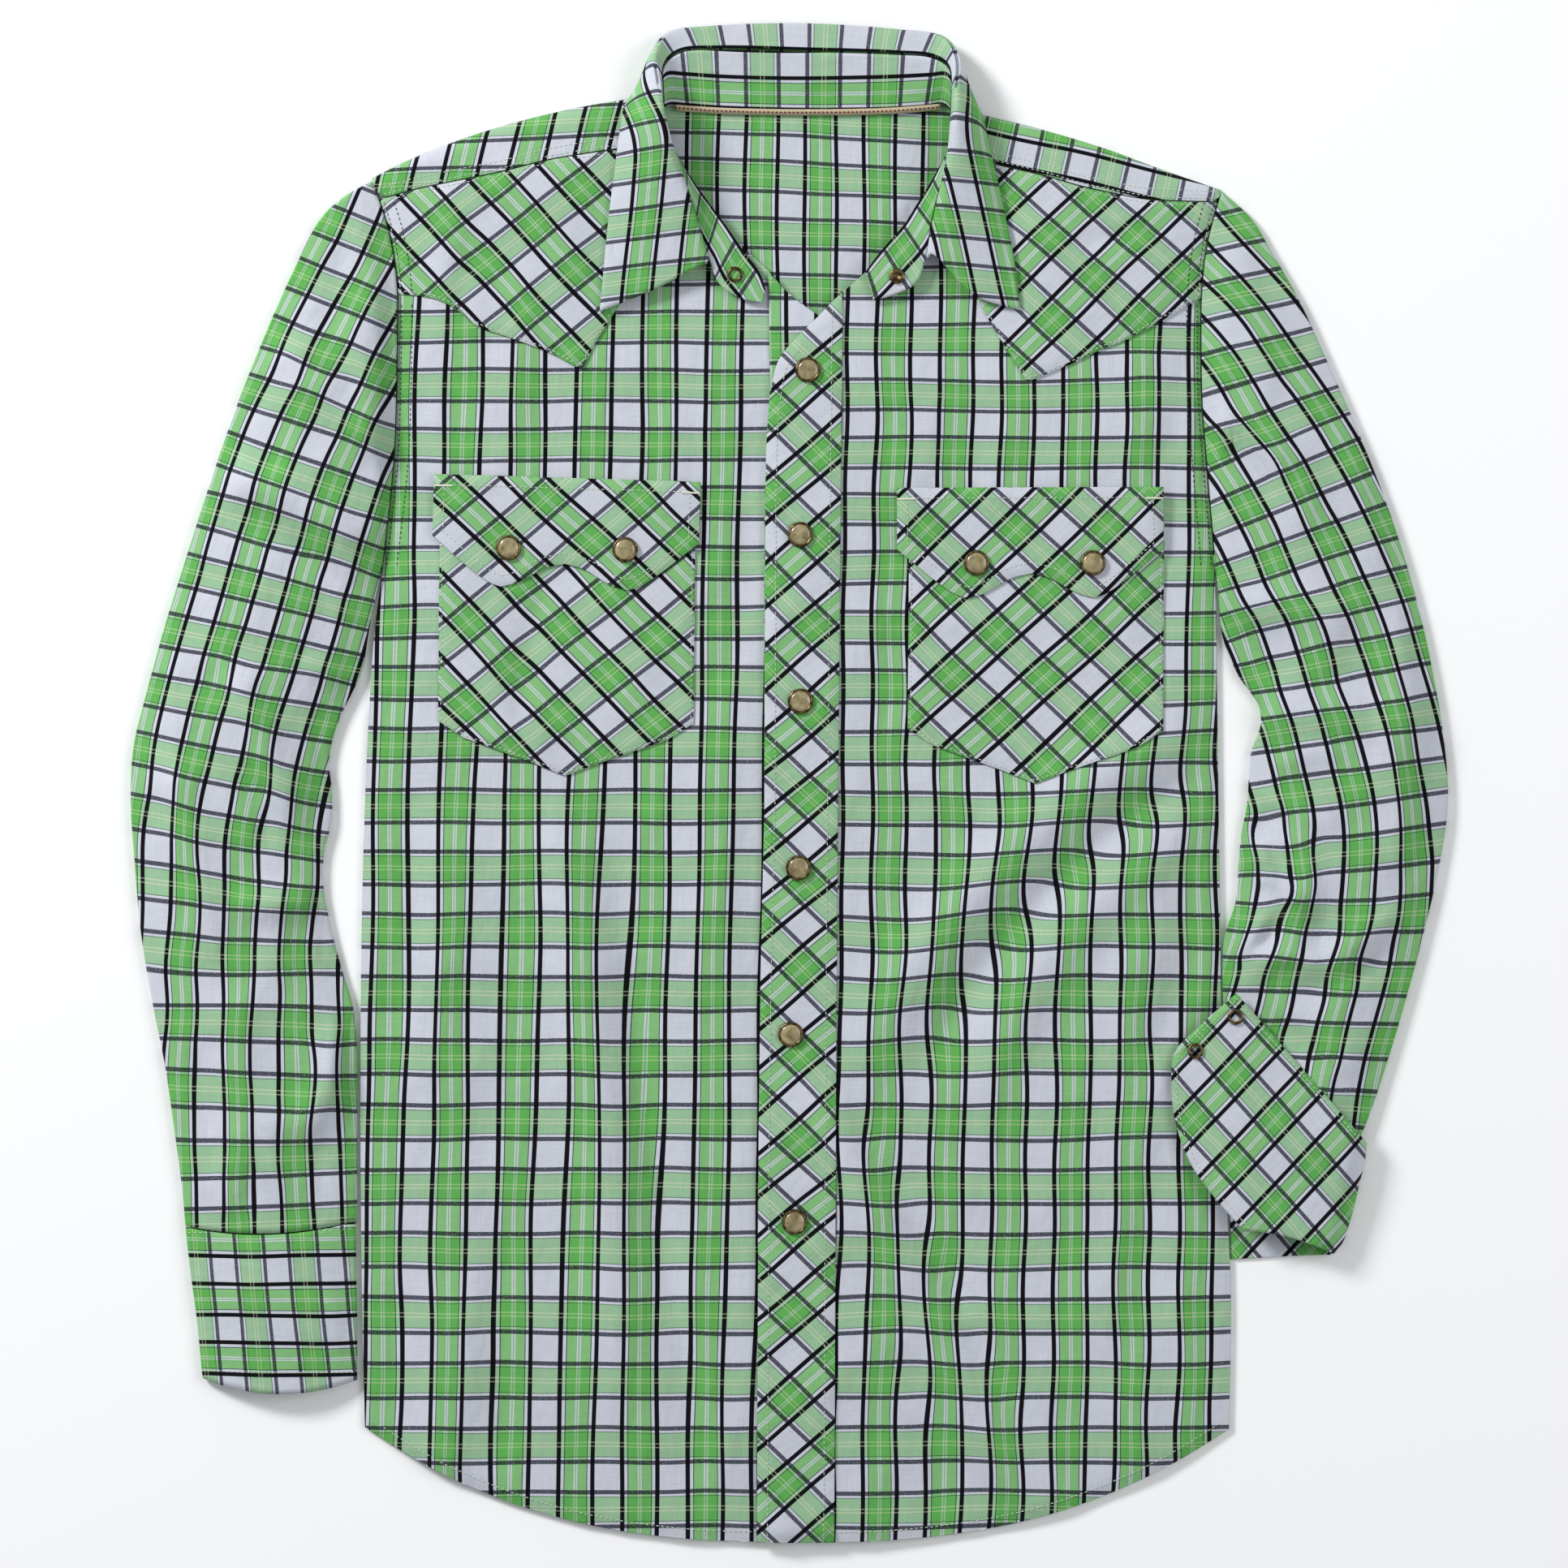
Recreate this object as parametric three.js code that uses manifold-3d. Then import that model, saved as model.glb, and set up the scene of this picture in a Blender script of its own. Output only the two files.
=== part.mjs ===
// A long-sleeved western snap shirt, laid flat on its back with the front up. Millimetres, +Z up.
// X runs across the shirt and Y from the hem to the collar, with the origin on the floor at the
// middle of the whole outline; the tables' own origin lies a little below and beside it. "left" and
// "right" are the sides as seen from above.
// The body is cut from plies that share one warped grid, so that what lies on a panel follows its
// points. Sleeves, cuffs and collar are walls through sections.
import * as THREE from "three";
import { mergeVertices } from "three/addons/utils/BufferGeometryUtils.js";
import Module from "manifold-3d";

const wasm = await Module();
wasm.setup();

// Driving sizes
const CLOTH = 1.6; // a wall of cloth
const SEAM = 0.3; // space between two pieces
const PLY = CLOTH + SEAM; // from one ply to the next
const HEM_Y = -400; // lowest point of the shirt-tail hem
const TAIL_RISE = 60.5; // how far the hem curves up at the side seams
const TAIL_HALF = 229; // half the width that the hem curve spans
const TAIL_MIDDLE = 5;
const TAIL_ROUND = 2.6; // power of the hem's curve
const MIDDLE = { x: 0.2, y: 2 }; // middle of the whole outline in the tables' frame
const LOFT = 2.3; // air between front and back in the middle of the body
const SNAP_RADIUS = 6.7;
const SNAP_HEIGHT = 2.9;
const EYELET_RADIUS = 4.2;
const SOCKET_RADIUS = 4.1;

// Sides of the body, armholes included, from the hem (0) to the shoulder (1)
const SIDES = [
  { at: 0.0, left: -224.5, right: 233 },
  { at: 0.1, left: -226, right: 234 },
  { at: 0.25, left: -227, right: 230.5 },
  { at: 0.45, left: -225.5, right: 228 },
  { at: 0.62, left: -220.5, right: 226.5 },
  { at: 0.695, left: -214.5, right: 225.5 },
  { at: 0.77, left: -209, right: 221.5 },
  { at: 0.83, left: -207.5, right: 218.5 },
  { at: 0.9, left: -207, right: 218 },
  { at: 0.95, left: -211.5, right: 221 },
  { at: 1.0, left: -221, right: 229 },
];

// Fold of the yoke over the shoulders
const SHOULDER = [
  { x: -222, y: 321.5 },
  { x: -203, y: 331 },
  { x: -177, y: 341.5 },
  { x: -151, y: 350 },
  { x: -117, y: 358.5 },
  { x: -86, y: 364 },
  { x: -70, y: 366 },
  { x: 86, y: 361 },
  { x: 100, y: 356.5 },
  { x: 132, y: 348.5 },
  { x: 167, y: 338 },
  { x: 197, y: 327 },
  { x: 230, y: 315.5 },
];

// Largest folds of the body: a ridge from one end to the other, bowed sideways
const BODY_FOLDS = [
  { from: [-124, -10], to: [-90, -345], bow: 8, width: 15, height: 4.2 },
  { from: [214, 30], to: [48, -135], bow: -22, width: 15, height: 4.2 },
  { from: [8, -160], to: [122, -378], bow: 0, width: 14, height: 3.8 },
  { from: [-196, 124], to: [-136, 10], bow: 4, width: 15, height: 2.6 },
  { from: [-160, 338], to: [-106, 262], bow: 3, width: 11, height: 1.6 },
  { from: [-178, 322], to: [-172, 226], bow: -5, width: 11, height: 1.5 },
  { from: [-175, -262], to: [-186, -384], bow: 3, width: 14, height: 2.6 },
  { from: [160, -250], to: [186, -365], bow: 3, width: 14, height: 1.8 },
  { from: [-30, 60], to: [-42, -120], bow: -4, width: 15, height: 1.6 },
];

// Sleeves from armhole to cuff: the two rims, the sideways bow of the section between them,
// the height of its middle and the height that its underside rests at
const LEFT_SLEEVE = [
  { rims: [[-222.2, 320.5], [-216.3, 116]], bow: 0, height: 9, rest: 0 },
  { rims: [[-237, 312], [-219.8, 99]], bow: 0, height: 11, rest: 0 },
  { rims: [[-249, 300], [-223, 81]], bow: 0, height: 12, rest: 0 },
  { rims: [[-263, 272], [-226, 62]], bow: 0, height: 13, rest: 0 },
  { rims: [[-276.5, 241], [-232, 48]], bow: 0, height: 13.5, rest: 0 },
  { rims: [[-291, 205], [-237, 38]], bow: 0, height: 13.5, rest: 0 },
  { rims: [[-306, 162], [-241, 27]], bow: 0, height: 13.5, rest: 0 },
  { rims: [[-319.5, 120], [-243.5, 13]], bow: 0, height: 13.5, rest: 0 },
  { rims: [[-331, 83], [-242, -2]], bow: 0, height: 13.5, rest: 0 },
  { rims: [[-340, 50], [-242, -18]], bow: 0, height: 13.5, rest: 0 },
  { rims: [[-347, 21], [-246, -35]], bow: 0, height: 13, rest: 0 },
  { rims: [[-348.5, -7], [-246.5, -52]], bow: 0, height: 13, rest: 0 },
  { rims: [[-346.5, -39], [-243, -72]], bow: 0, height: 13, rest: 0 },
  { rims: [[-343, -78], [-237.5, -94]], bow: 0, height: 12.5, rest: 0 },
  { rims: [[-336.5, -117], [-230.5, -118]], bow: 0, height: 12, rest: 0 },
  { rims: [[-330.5, -147], [-228.5, -142]], bow: 0, height: 11.5, rest: 0 },
  { rims: [[-325.5, -181], [-228.5, -170]], bow: 1, height: 11, rest: 0 },
  { rims: [[-321.5, -211], [-228.5, -200]], bow: 3, height: 10.6, rest: 0 },
  { rims: [[-319.5, -232.5], [-228.5, -229.5]], bow: 5, height: 10.2, rest: 0 },
];
const RIGHT_SLEEVE = [
  { rims: [[227.3, 120], [231, 315]], bow: 0, height: 9, rest: 0 },
  { rims: [[229, 100], [246, 301]], bow: 0, height: 11, rest: 0 },
  { rims: [[230.5, 79], [257, 282]], bow: 0, height: 12, rest: 0 },
  { rims: [[238, 59], [270, 258]], bow: 0, height: 13, rest: 0 },
  { rims: [[249, 42], [285, 225]], bow: 0, height: 13.5, rest: 0 },
  { rims: [[249.5, 31], [303, 184]], bow: 0, height: 13.5, rest: 0 },
  { rims: [[245, 19], [319.5, 141]], bow: 0, height: 13.5, rest: 0 },
  { rims: [[243.5, 5], [332.5, 98]], bow: 0, height: 13.5, rest: 0 },
  { rims: [[242.5, -10], [341, 60]], bow: 0, height: 13.5, rest: 0 },
  { rims: [[239.5, -25], [347, 23]], bow: 0, height: 13.5, rest: 0 },
  { rims: [[238, -43], [349, -9]], bow: 0, height: 13, rest: 0 },
  { rims: [[236.5, -61], [344.5, -41]], bow: 0, height: 13, rest: 0 },
  { rims: [[230.5, -80], [337, -74]], bow: 0, height: 12.5, rest: 0 },
  { rims: [[229.5, -103], [328, -108]], bow: 0, height: 12, rest: 0 },
  { rims: [[231, -130], [318, -142]], bow: 0, height: 11.5, rest: 0 },
  { rims: [[232.5, -158], [308, -172]], bow: 0, height: 11, rest: 0.6 },
  { rims: [[236, -188], [297.5, -198]], bow: 0, height: 10.5, rest: 2.1 },
  { rims: [[238, -214], [290, -222]], bow: 0, height: 10, rest: 2.1 },
];
const LEFT_CUFF = [
  { rims: [[-319.5, -233.3], [-229, -230.3]], bow: 5, height: 10.2, rest: 0 },
  { rims: [[-317, -256], [-229, -254]], bow: 5, height: 10.2, rest: 0 },
  { rims: [[-313.5, -282], [-228.5, -280]], bow: 5.5, height: 10.2, rest: 0 },
  { rims: [[-310.5, -313], [-228.5, -314]], bow: 7.5, height: 10.2, rest: 0 },
];

// Largest folds of the two sleeves
const LEFT_SLEEVE_FOLDS = [
  { from: [-304, 166], to: [-220, 128], bow: 3, width: 10, height: 3.4 },
  { from: [-270, 240], to: [-216, 178], bow: -3, width: 10, height: 3 },
  { from: [-300, 70], to: [-262, -20], bow: 4, width: 10, height: 3 },
  { from: [-330, 20], to: [-306, -90], bow: 5, width: 11, height: 2.6 },
  { from: [-296, -62], to: [-238, -56], bow: -3, width: 9, height: 3.2 },
  { from: [-232, -118], to: [-258, -186], bow: 3, width: 9, height: 3.4 },
  { from: [-290, -110], to: [-286, -215], bow: -3, width: 11, height: 2 },
];
const RIGHT_SLEEVE_FOLDS = [
  { from: [222, 196], to: [262, 166], bow: 3, width: 9, height: 3.4 },
  { from: [236, 92], to: [296, 84], bow: 7, width: 10, height: 3.2 },
  { from: [250, 34], to: [330, 36], bow: 5, width: 11, height: 2.8 },
  { from: [240, -32], to: [272, -56], bow: 4, width: 9, height: 3.6 },
  { from: [276, -52], to: [236, -98], bow: -5, width: 9, height: 3.6 },
  { from: [322, 110], to: [316, -60], bow: 6, width: 13, height: 2.4 },
  { from: [300, -70], to: [284, -170], bow: 3, width: 11, height: 2.6 },
];

// Collar from the left tab round the back of the neck to the right tab: the neck seam, the seam
// between stand and leaf, the crease, the middle of the leaf and its free edge
const COLLAR = [
  { neck: [-12.5, 263, 7.6], top: [-14, 254.5, 7.5] },
  { neck: [-15.5, 271.5, 7.6], top: [-25, 256.5, 7.8] },
  { neck: [-24, 283, 7.2], top: [-37, 264, 8.2] },
  {
    neck: [-33, 296, 7], top: [-41.5, 274, 8.6],
    crease: [-43, 276, 11.4], leaf: [-72, 262, 9.6], edge: [-100, 251, 8.2],
  },
  {
    neck: [-42, 308, 6.8], top: [-46.5, 291, 10.6],
    crease: [-49, 294, 14], leaf: [-73, 284, 12], edge: [-97.5, 277, 8.2],
  },
  {
    neck: [-51, 320, 6.6], top: [-52, 309, 13.2],
    crease: [-54, 311, 17.4], leaf: [-75, 305, 14.5], edge: [-95, 301, 8.3],
  },
  {
    neck: [-61, 336, 6.2], top: [-59, 330, 16.4],
    crease: [-62, 331, 21], leaf: [-79, 327, 16.8], edge: [-92, 323, 8.4],
  },
  {
    neck: [-68, 348, 5.4], top: [-65, 350, 18.4],
    crease: [-66, 351, 23.6], leaf: [-80, 348, 17.4], edge: [-89, 345, 8.5],
  },
  {
    neck: [-69, 357, 4.4], top: [-67.5, 366, 16.6],
    crease: [-69, 370, 21.4], leaf: [-78, 367.5, 14.5], edge: [-85.5, 361, 8.6],
  },
  {
    neck: [-64, 361, 3.2], top: [-65.5, 382, 11.6],
    crease: [-70.5, 387.5, 15.4], leaf: [-73.5, 384, 8], edge: [-72, 374, 2.4],
  },
  {
    neck: [-54, 360.5, 2.9], top: [-57, 389, 8.2],
    crease: [-63, 398.6, 8.4], leaf: [-61.5, 390, 2.6], edge: [-59, 371, 1],
  },
  {
    neck: [-36, 359, 2.8], top: [-37, 390.5, 7],
    crease: [-40, 402.6, 6], leaf: [-39, 389, 1.7], edge: [-38, 368, 1],
  },
  {
    neck: [9, 357.5, 2.8], top: [9, 389.5, 6.8],
    crease: [9, 404, 5.6], leaf: [9, 389, 1.6], edge: [9, 366, 1],
  },
  {
    neck: [54, 358.5, 2.8], top: [55, 388, 7],
    crease: [58, 400.6, 6], leaf: [57, 388, 1.7], edge: [56, 367, 1],
  },
  {
    neck: [72, 360, 2.9], top: [76, 386, 8.2],
    crease: [81.5, 396.2, 8.4], leaf: [80, 388, 2.6], edge: [77, 370, 1],
  },
  {
    neck: [82, 361, 3.2], top: [84.5, 380, 11.6],
    crease: [88.5, 385, 15.4], leaf: [90.5, 380, 8], edge: [88.5, 369.5, 2.4],
  },
  {
    neck: [87, 356, 4.4], top: [86.5, 364, 16.6],
    crease: [88.5, 368, 21.4], leaf: [95.5, 365, 14.5], edge: [100.5, 357, 8.8],
  },
  {
    neck: [87.5, 345, 5.4], top: [85.5, 350, 18.4],
    crease: [88, 352, 23.6], leaf: [98, 348, 17.4], edge: [105, 339.5, 8.8],
  },
  {
    neck: [84, 335, 6.2], top: [84, 334, 16.4],
    crease: [87, 335, 21], leaf: [99.5, 327, 16.8], edge: [110, 319, 8.6],
  },
  {
    neck: [77, 322, 7.4], top: [80, 315, 13.6],
    crease: [83, 318, 17.6], leaf: [99, 306, 14.8], edge: [115, 297, 8.5],
  },
  {
    neck: [68, 308, 8], top: [76, 297, 11.4],
    crease: [79, 299, 14.6], leaf: [98.5, 283, 12.6], edge: [119.5, 274.5, 8.5],
  },
  {
    neck: [61, 297, 8.4], top: [73, 279, 9.8],
    crease: [75.5, 281, 12.4], leaf: [97.5, 259.5, 10.6], edge: [122, 251.5, 8.5],
  },
  { neck: [53, 288, 8.6], top: [68, 265, 9.2] },
  { neck: [46, 279.5, 8.7], top: [57, 259, 9] },
  { neck: [40.5, 272, 8.7], top: [45, 255.5, 8.8] },
];

// Cuff of the right sleeve, unsnapped and turned back, from its free edge down to the fold: its
// open end, its rolled side and the sideways bow between them
const TURNED_CUFF = [
  { rims: [[236, -109], [306, -189]], bow: 0 },
  { rims: [[214, -129], [305.5, -195]], bow: 0 },
  { rims: [[203.5, -141], [304.5, -201]], bow: 0 },
  { rims: [[202, -156], [302.5, -209]], bow: 0 },
  { rims: [[204, -177], [300, -220]], bow: 0 },
  { rims: [[212, -199], [297, -231]], bow: -1 },
  { rims: [[223, -215], [293.5, -241]], bow: -2 },
  { rims: [[240, -234.5], [288.5, -247.5]], bow: -3 },
];
const TURNED_CUFF_HEIGHT = 14.4; // over the sleeve
const TURNED_CUFF_TIP = 9.4; // at its open end, over the side of the body
const TURNED_CUFF_ROLL = 15; // how far from the rolled side it starts to come down

const clamp = (value, low, high) => Math.min(high, Math.max(low, value));
const ease = (t) => {
  const c = clamp(t, 0, 1);
  return c * c * (3 - 2 * c);
};

// A column of a table at a place between its rows, on a smooth curve that doesn't overshoot
function along(rows, key, column, at) {
  let i = 0;
  while (i < rows.length - 2 && at > rows[i + 1][key]) i += 1;
  const slope = (k) => {
    const a = rows[Math.max(0, k - 1)];
    const b = rows[Math.min(rows.length - 1, k + 1)];
    return (b[column] - a[column]) / (b[key] - a[key]);
  };
  const [p, q] = [rows[i], rows[i + 1]];
  const span = q[key] - p[key];
  const t = clamp((at - p[key]) / span, 0, 1);
  const flat = (q[column] - p[column]) / span;
  const [m0, m1] = [slope(i), slope(i + 1)].map((m) => (m * flat <= 0 ? 0 : m));
  return (
    (2 * t ** 3 - 3 * t ** 2 + 1) * p[column] +
    (t ** 3 - 2 * t ** 2 + t) * span * m0 +
    (3 * t ** 2 - 2 * t ** 3) * q[column] +
    (t ** 3 - t ** 2) * span * m1
  );
}

// Height that a table of folds adds at a point
function foldHeight(folds, x, y) {
  return folds.reduce((sum, { from, to, bow, width, height }) => {
    const [dx, dy] = [to[0] - from[0], to[1] - from[1]];
    const length = Math.hypot(dx, dy);
    const t = ((x - from[0]) * dx + (y - from[1]) * dy) / length ** 2;
    const side = (dx * (y - from[1]) - dy * (x - from[0])) / length;
    const off = (side - bow * 4 * t * (1 - t)) / width;
    const fade = ease((t + 0.12) / 0.35) * ease((1.12 - t) / 0.35);
    return sum + height * fade * Math.exp(-off * off);
  }, 0);
}

// Body: one warped grid, with closer lines where the cloth rolls over at its edges
const COLUMNS = [0, 0.012, 0.035, 0.07, 0.11];
for (let s = 0.15; s < 0.86; s += 0.0304) COLUMNS.push(s);
COLUMNS.push(0.89, 0.93, 0.965, 0.988, 1);
const ROWS = [0, 0.02, 0.055];
for (let v = 0.095; v < 0.93; v += 0.0418) ROWS.push(v);
ROWS.push(0.955, 0.978, 0.991, 1);

const hemAt = (x) => HEM_Y + TAIL_RISE * (Math.abs(x - TAIL_MIDDLE) / TAIL_HALF) ** TAIL_ROUND;
const shoulderAt = (x) => along(SHOULDER, "x", "y", x);

function bodyPoint(s, v) {
  const left = along(SIDES, "at", "left", v);
  const right = along(SIDES, "at", "right", v);
  const x = left + s * (right - left);
  const hem = hemAt(x);
  return [x, hem + v * (shoulderAt(x) - hem)];
}

// Underside of the front cloth, over the back
const BACK_TOP = CLOTH;
function underPlain(s, v) {
  const [x, y] = bodyPoint(s, v);
  const fromSide = Math.min(s, 1 - s) * 450;
  const fromTop = (1 - v) * 740;
  const fromHem = v * 740;
  const inside = ease(fromSide / 42) * ease(fromTop / 40) * (0.3 + 0.7 * ease(fromHem / 90));
  const collar = 1 - 0.75 * ease((y - 215) / 50) * ease((128 - Math.abs(x - 9)) / 30);
  const still = ease(fromSide / 30) * ease((fromTop - 4) / 30) * collar;
  return BACK_TOP + SEAM + 0.15 + LOFT * inside * collar + still * foldHeight(BODY_FOLDS, x, y);
}

// The right front rises to the height of the stud band where the placket joins it
const PLACKET_EDGE = 22;
const placketLift = (x) => PLY * ease((PLACKET_EDGE + 66 - x) / 60) * (x > 8 ? 1 : 0);

const underRaised = (s, v) => underPlain(s, v) + placketLift(bodyPoint(s, v)[0]);

// A closed mesh through two matching grids of points, an upper and a lower one
function between(upper, lower, closed = false) {
  const rows = upper.length;
  const count = upper[0].length;
  const corners = [...upper.flat(), ...lower.flat()].flat();
  const up = (i, j) => i * count + (j % count);
  const down = (i, j) => rows * count + up(i, j);
  const faces = [];
  const quad = (a, b, c, d) => faces.push(a, b, c, a, c, d);
  const spans = closed ? count : count - 1;
  for (let i = 0; i < rows - 1; i += 1) {
    for (let j = 0; j < spans; j += 1) {
      quad(up(i, j), up(i, j + 1), up(i + 1, j + 1), up(i + 1, j));
      quad(down(i, j), down(i + 1, j), down(i + 1, j + 1), down(i, j + 1));
    }
    if (!closed) {
      quad(up(i, 0), up(i + 1, 0), down(i + 1, 0), down(i, 0));
      quad(up(i, spans), down(i, spans), down(i + 1, spans), up(i + 1, spans));
    }
  }
  for (let j = 0; j < spans; j += 1) {
    quad(up(0, j), down(0, j), down(0, j + 1), up(0, j + 1));
    quad(up(rows - 1, j), up(rows - 1, j + 1), down(rows - 1, j + 1), down(rows - 1, j));
  }
  const geometry = new THREE.BufferGeometry();
  geometry.setAttribute("position", new THREE.Float32BufferAttribute(corners, 3));
  geometry.setIndex(faces);
  return geometry;
}

// A three.js geometry as a solid that can be cut and joined, and back again
function solid(geometry) {
  const bare = geometry.clone();
  ["normal", "uv"].forEach((name) => bare.deleteAttribute(name));
  const merged = mergeVertices(bare, 1e-4);
  const made = new wasm.Manifold(
    new wasm.Mesh({
      numProp: 3,
      vertProperties: merged.attributes.position.array,
      triVerts: new Uint32Array(merged.index.array),
    }),
  );
  return made;
}

function geometryOf(made) {
  const mesh = made.getMesh();
  const points = new Float32Array(mesh.numVert * 3);
  for (let i = 0; i < mesh.numVert; i += 1) {
    points.set(mesh.vertProperties.subarray(i * mesh.numProp, i * mesh.numProp + 3), i * 3);
  }
  const geometry = new THREE.BufferGeometry();
  geometry.setAttribute("position", new THREE.BufferAttribute(points, 3));
  geometry.setIndex(new THREE.BufferAttribute(mesh.triVerts, 1));
  return geometry;
}

// A ply of the whole body at a height over the shared grid, from which the panels are cut
function bodyPly(under, plies) {
  const layer = (extra) =>
    ROWS.map((v) =>
      COLUMNS.map((s) => [...bodyPoint(s, v), under(s, v) + plies * PLY + extra]),
    );
  return solid(between(layer(CLOTH), layer(0)));
}

const line = (...points) => points.map(([x, y]) => new THREE.Vector2(x, y));
const curve = (count, ...points) => new THREE.SplineCurve(line(...points)).getPoints(count);

// A cutter: an outline, made of straight and curved runs, taken straight up
function cutter(...runs) {
  const shape = new THREE.Shape(runs.flat());
  return solid(
    new THREE.ExtrudeGeometry(shape, { depth: 60, bevelEnabled: false }).translate(0, 0, -20),
  );
}

const shirt = new THREE.Group();
const colours = { cloth: "#a3cf9d", metal: "#8a7a55", pearl: "#a3946b" };

function add(name, geometry, colour = colours.cloth, metalness = 0) {
  const material = new THREE.MeshStandardMaterial({
    color: colour,
    roughness: metalness ? 0.45 : 0.9,
    metalness,
    side: THREE.DoubleSide,
  });
  const mesh = new THREE.Mesh(geometry, material);
  mesh.name = name;
  shirt.add(mesh);
  return mesh;
}

// Seams and edges that several outlines share
const FAR = 300;
const yokeSeam = {
  left: [[-230, 309.5], [-214, 311.5], [-197, 316], [-175, 320.5], [-150, 325.5], [-129, 331],
    [-100, 336], [-66, 340]],
  right: [[86, 334], [112, 328.5], [137, 322.5], [156, 317], [175, 313], [190, 310.5],
    [212, 309.5], [240, 309]],
};
const neckline = {
  left: [[-70, 345], [-61, 336], [-51, 320], [-37, 301], [-23, 284], [-11, 273], [-3, 264],
    [5.5, 256.5]],
  right: [[28, 261], [40.5, 272], [57, 292], [68, 308], [77, 322], [85, 338], [88, 345]],
};
const moved = (points, dx, dy) => points.map(([x, y]) => [x + dx, y + dy]);

function fronts() {
  const left = bodyPly(underPlain, 0).intersect(
    cutter(
      line([-FAR, -FAR * 2], [PLACKET_EDGE - 3, -FAR * 2], [PLACKET_EDGE - 3, 247.5], [15, 249.5]),
      curve(12, ...[...neckline.left].reverse()),
      curve(10, ...[...yokeSeam.left].reverse()),
      line([-FAR, 309.5]),
    ),
  );
  add("front_left", geometryOf(left));
  const right = bodyPly(underRaised, 0).intersect(
    cutter(
      line([PLACKET_EDGE, 254], [PLACKET_EDGE, -FAR * 2], [FAR, -FAR * 2], [FAR, 309]),
      curve(10, ...[...yokeSeam.right].reverse()),
      curve(10, ...[...neckline.right].reverse()),
    ),
  );
  add("front_right", geometryOf(right));
}

// The placket that carries the snap caps, and the stud band under it
function plackets() {
  const band = bodyPly(underPlain, 1).intersect(
    cutter(
      line([-13, -FAR * 2], [PLACKET_EDGE - 3, -FAR * 2], [PLACKET_EDGE - 3, 247.5], [15, 249.5],
        [5.5, 256], [-3, 263.5], [-11, 272.5]),
      line([-10.5, 252], [-10, 212], [-13, 150]),
    ),
  );
  add("stud_band", geometryOf(band));
  const placket = bodyPly(underPlain, 2).intersect(
    cutter(
      curve(14, [28, 262], [16, 249], [0, 233], [-6, 224], [-9, 212], [-11.5, 189], [-12.5, 150]),
      line([-13, -13], [-15, -99], [-16, -185], [-17, -FAR * 2], [24, -FAR * 2]),
      line([25, -142], [26, -13], [27.5, 159], [28.5, 251]),
    ),
  );
  add("placket", geometryOf(placket));
}

function frontYokes() {
  const left = bodyPly(underPlain, 1).intersect(
    cutter(
      curve(10, ...moved(yokeSeam.left.slice(0, -1), 0, -SEAM), [-84, 337.5]),
      curve(6, [-83, 318], [-82, 300], [-80, 275]),
      curve(4, [-85, 262], [-92, 251], [-102, 235], [-109, 221]),
      curve(12, [-113, 222], [-126, 229], [-150, 238], [-164, 243], [-177, 253], [-190, 258.5],
        [-215, 261]),
      line([-FAR, 261], [-FAR, 309]),
    ),
  );
  add("front_yoke_left", geometryOf(left));
  const right = bodyPly(underRaised, 1).intersect(
    cutter(
      curve(10, ...moved([...yokeSeam.right].reverse().slice(0, -1), 0, -SEAM), [100, 331]),
      curve(6, [99, 318], [98.5, 300], [97, 275]),
      curve(4, [98, 263], [105, 248], [114, 233], [125, 215]),
      curve(12, [129, 215], [140, 219.5], [152, 224.5], [165, 231], [178, 236], [202, 249],
        [212, 255], [224, 262]),
      line([FAR, 262], [FAR, 308.5]),
    ),
  );
  add("front_yoke_right", geometryOf(right));
}

// A bias patch pocket with a pointed foot, and its double-pointed flap
const POCKET = { half: 67.5, side: 98, foot: 126.5 };
const FLAP = { half: 70.5, side: 32.5, tip: 58.5, notch: 45.5, tipAt: 33.5 };

function place(points, [x, y], turn) {
  const [c, s] = [Math.cos(turn), Math.sin(turn)];
  return points.map(([a, b]) => [x + a * c - b * s, y + a * s + b * c]);
}

function pocket(side, plies, under, centre, turn) {
  const { half, side: drop, foot } = POCKET;
  const outline = [
    [-half, 14], [-half, -drop], [-half + 14, -drop - 9], [-18, -foot + 7], [0, -foot],
    [18, -foot + 7], [half - 14, -drop - 9], [half, -drop], [half, 14],
  ];
  const cut = cutter(line(...place(outline, centre, turn)));
  add(`pocket_${side}`, geometryOf(bodyPly(under, plies).intersect(cut)));
}

function flap(side, plies, under, centre, turn) {
  const { half, side: drop, tip, notch, tipAt } = FLAP;
  const outline = [
    [-half, 0], [-half, -drop], [-tipAt - 8, -tip + 4], [-tipAt, -tip], [-tipAt + 8, -tip + 2],
    [-6, -notch - 1], [0, -notch], [6, -notch - 1], [tipAt - 8, -tip + 2], [tipAt, -tip],
    [tipAt + 8, -tip + 4], [half, -drop], [half, 0],
  ];
  const cut = cutter(line(...place(outline, centre, turn)));
  add(`flap_${side}`, geometryOf(bodyPly(under, plies).intersect(cut)));
}

function pockets() {
  pocket("left", 1, underPlain, [-117, 132], -0.01);
  flap("left", 2, underPlain, [-117, 163], -0.03);
  pocket("right", 1, underRaised, [131, 128], -0.008);
  flap("right", 2, underRaised, [127.5, 158], 0.004);
}

// Back panel and back yoke: flat on the floor, apart from the yoke's fold over the shoulders
const BACK_SEAM = [[-FAR, 256], [-215, 256], [-120, 244], [9, 222], [130, 244], [225, 256],
  [FAR, 256]];

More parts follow.
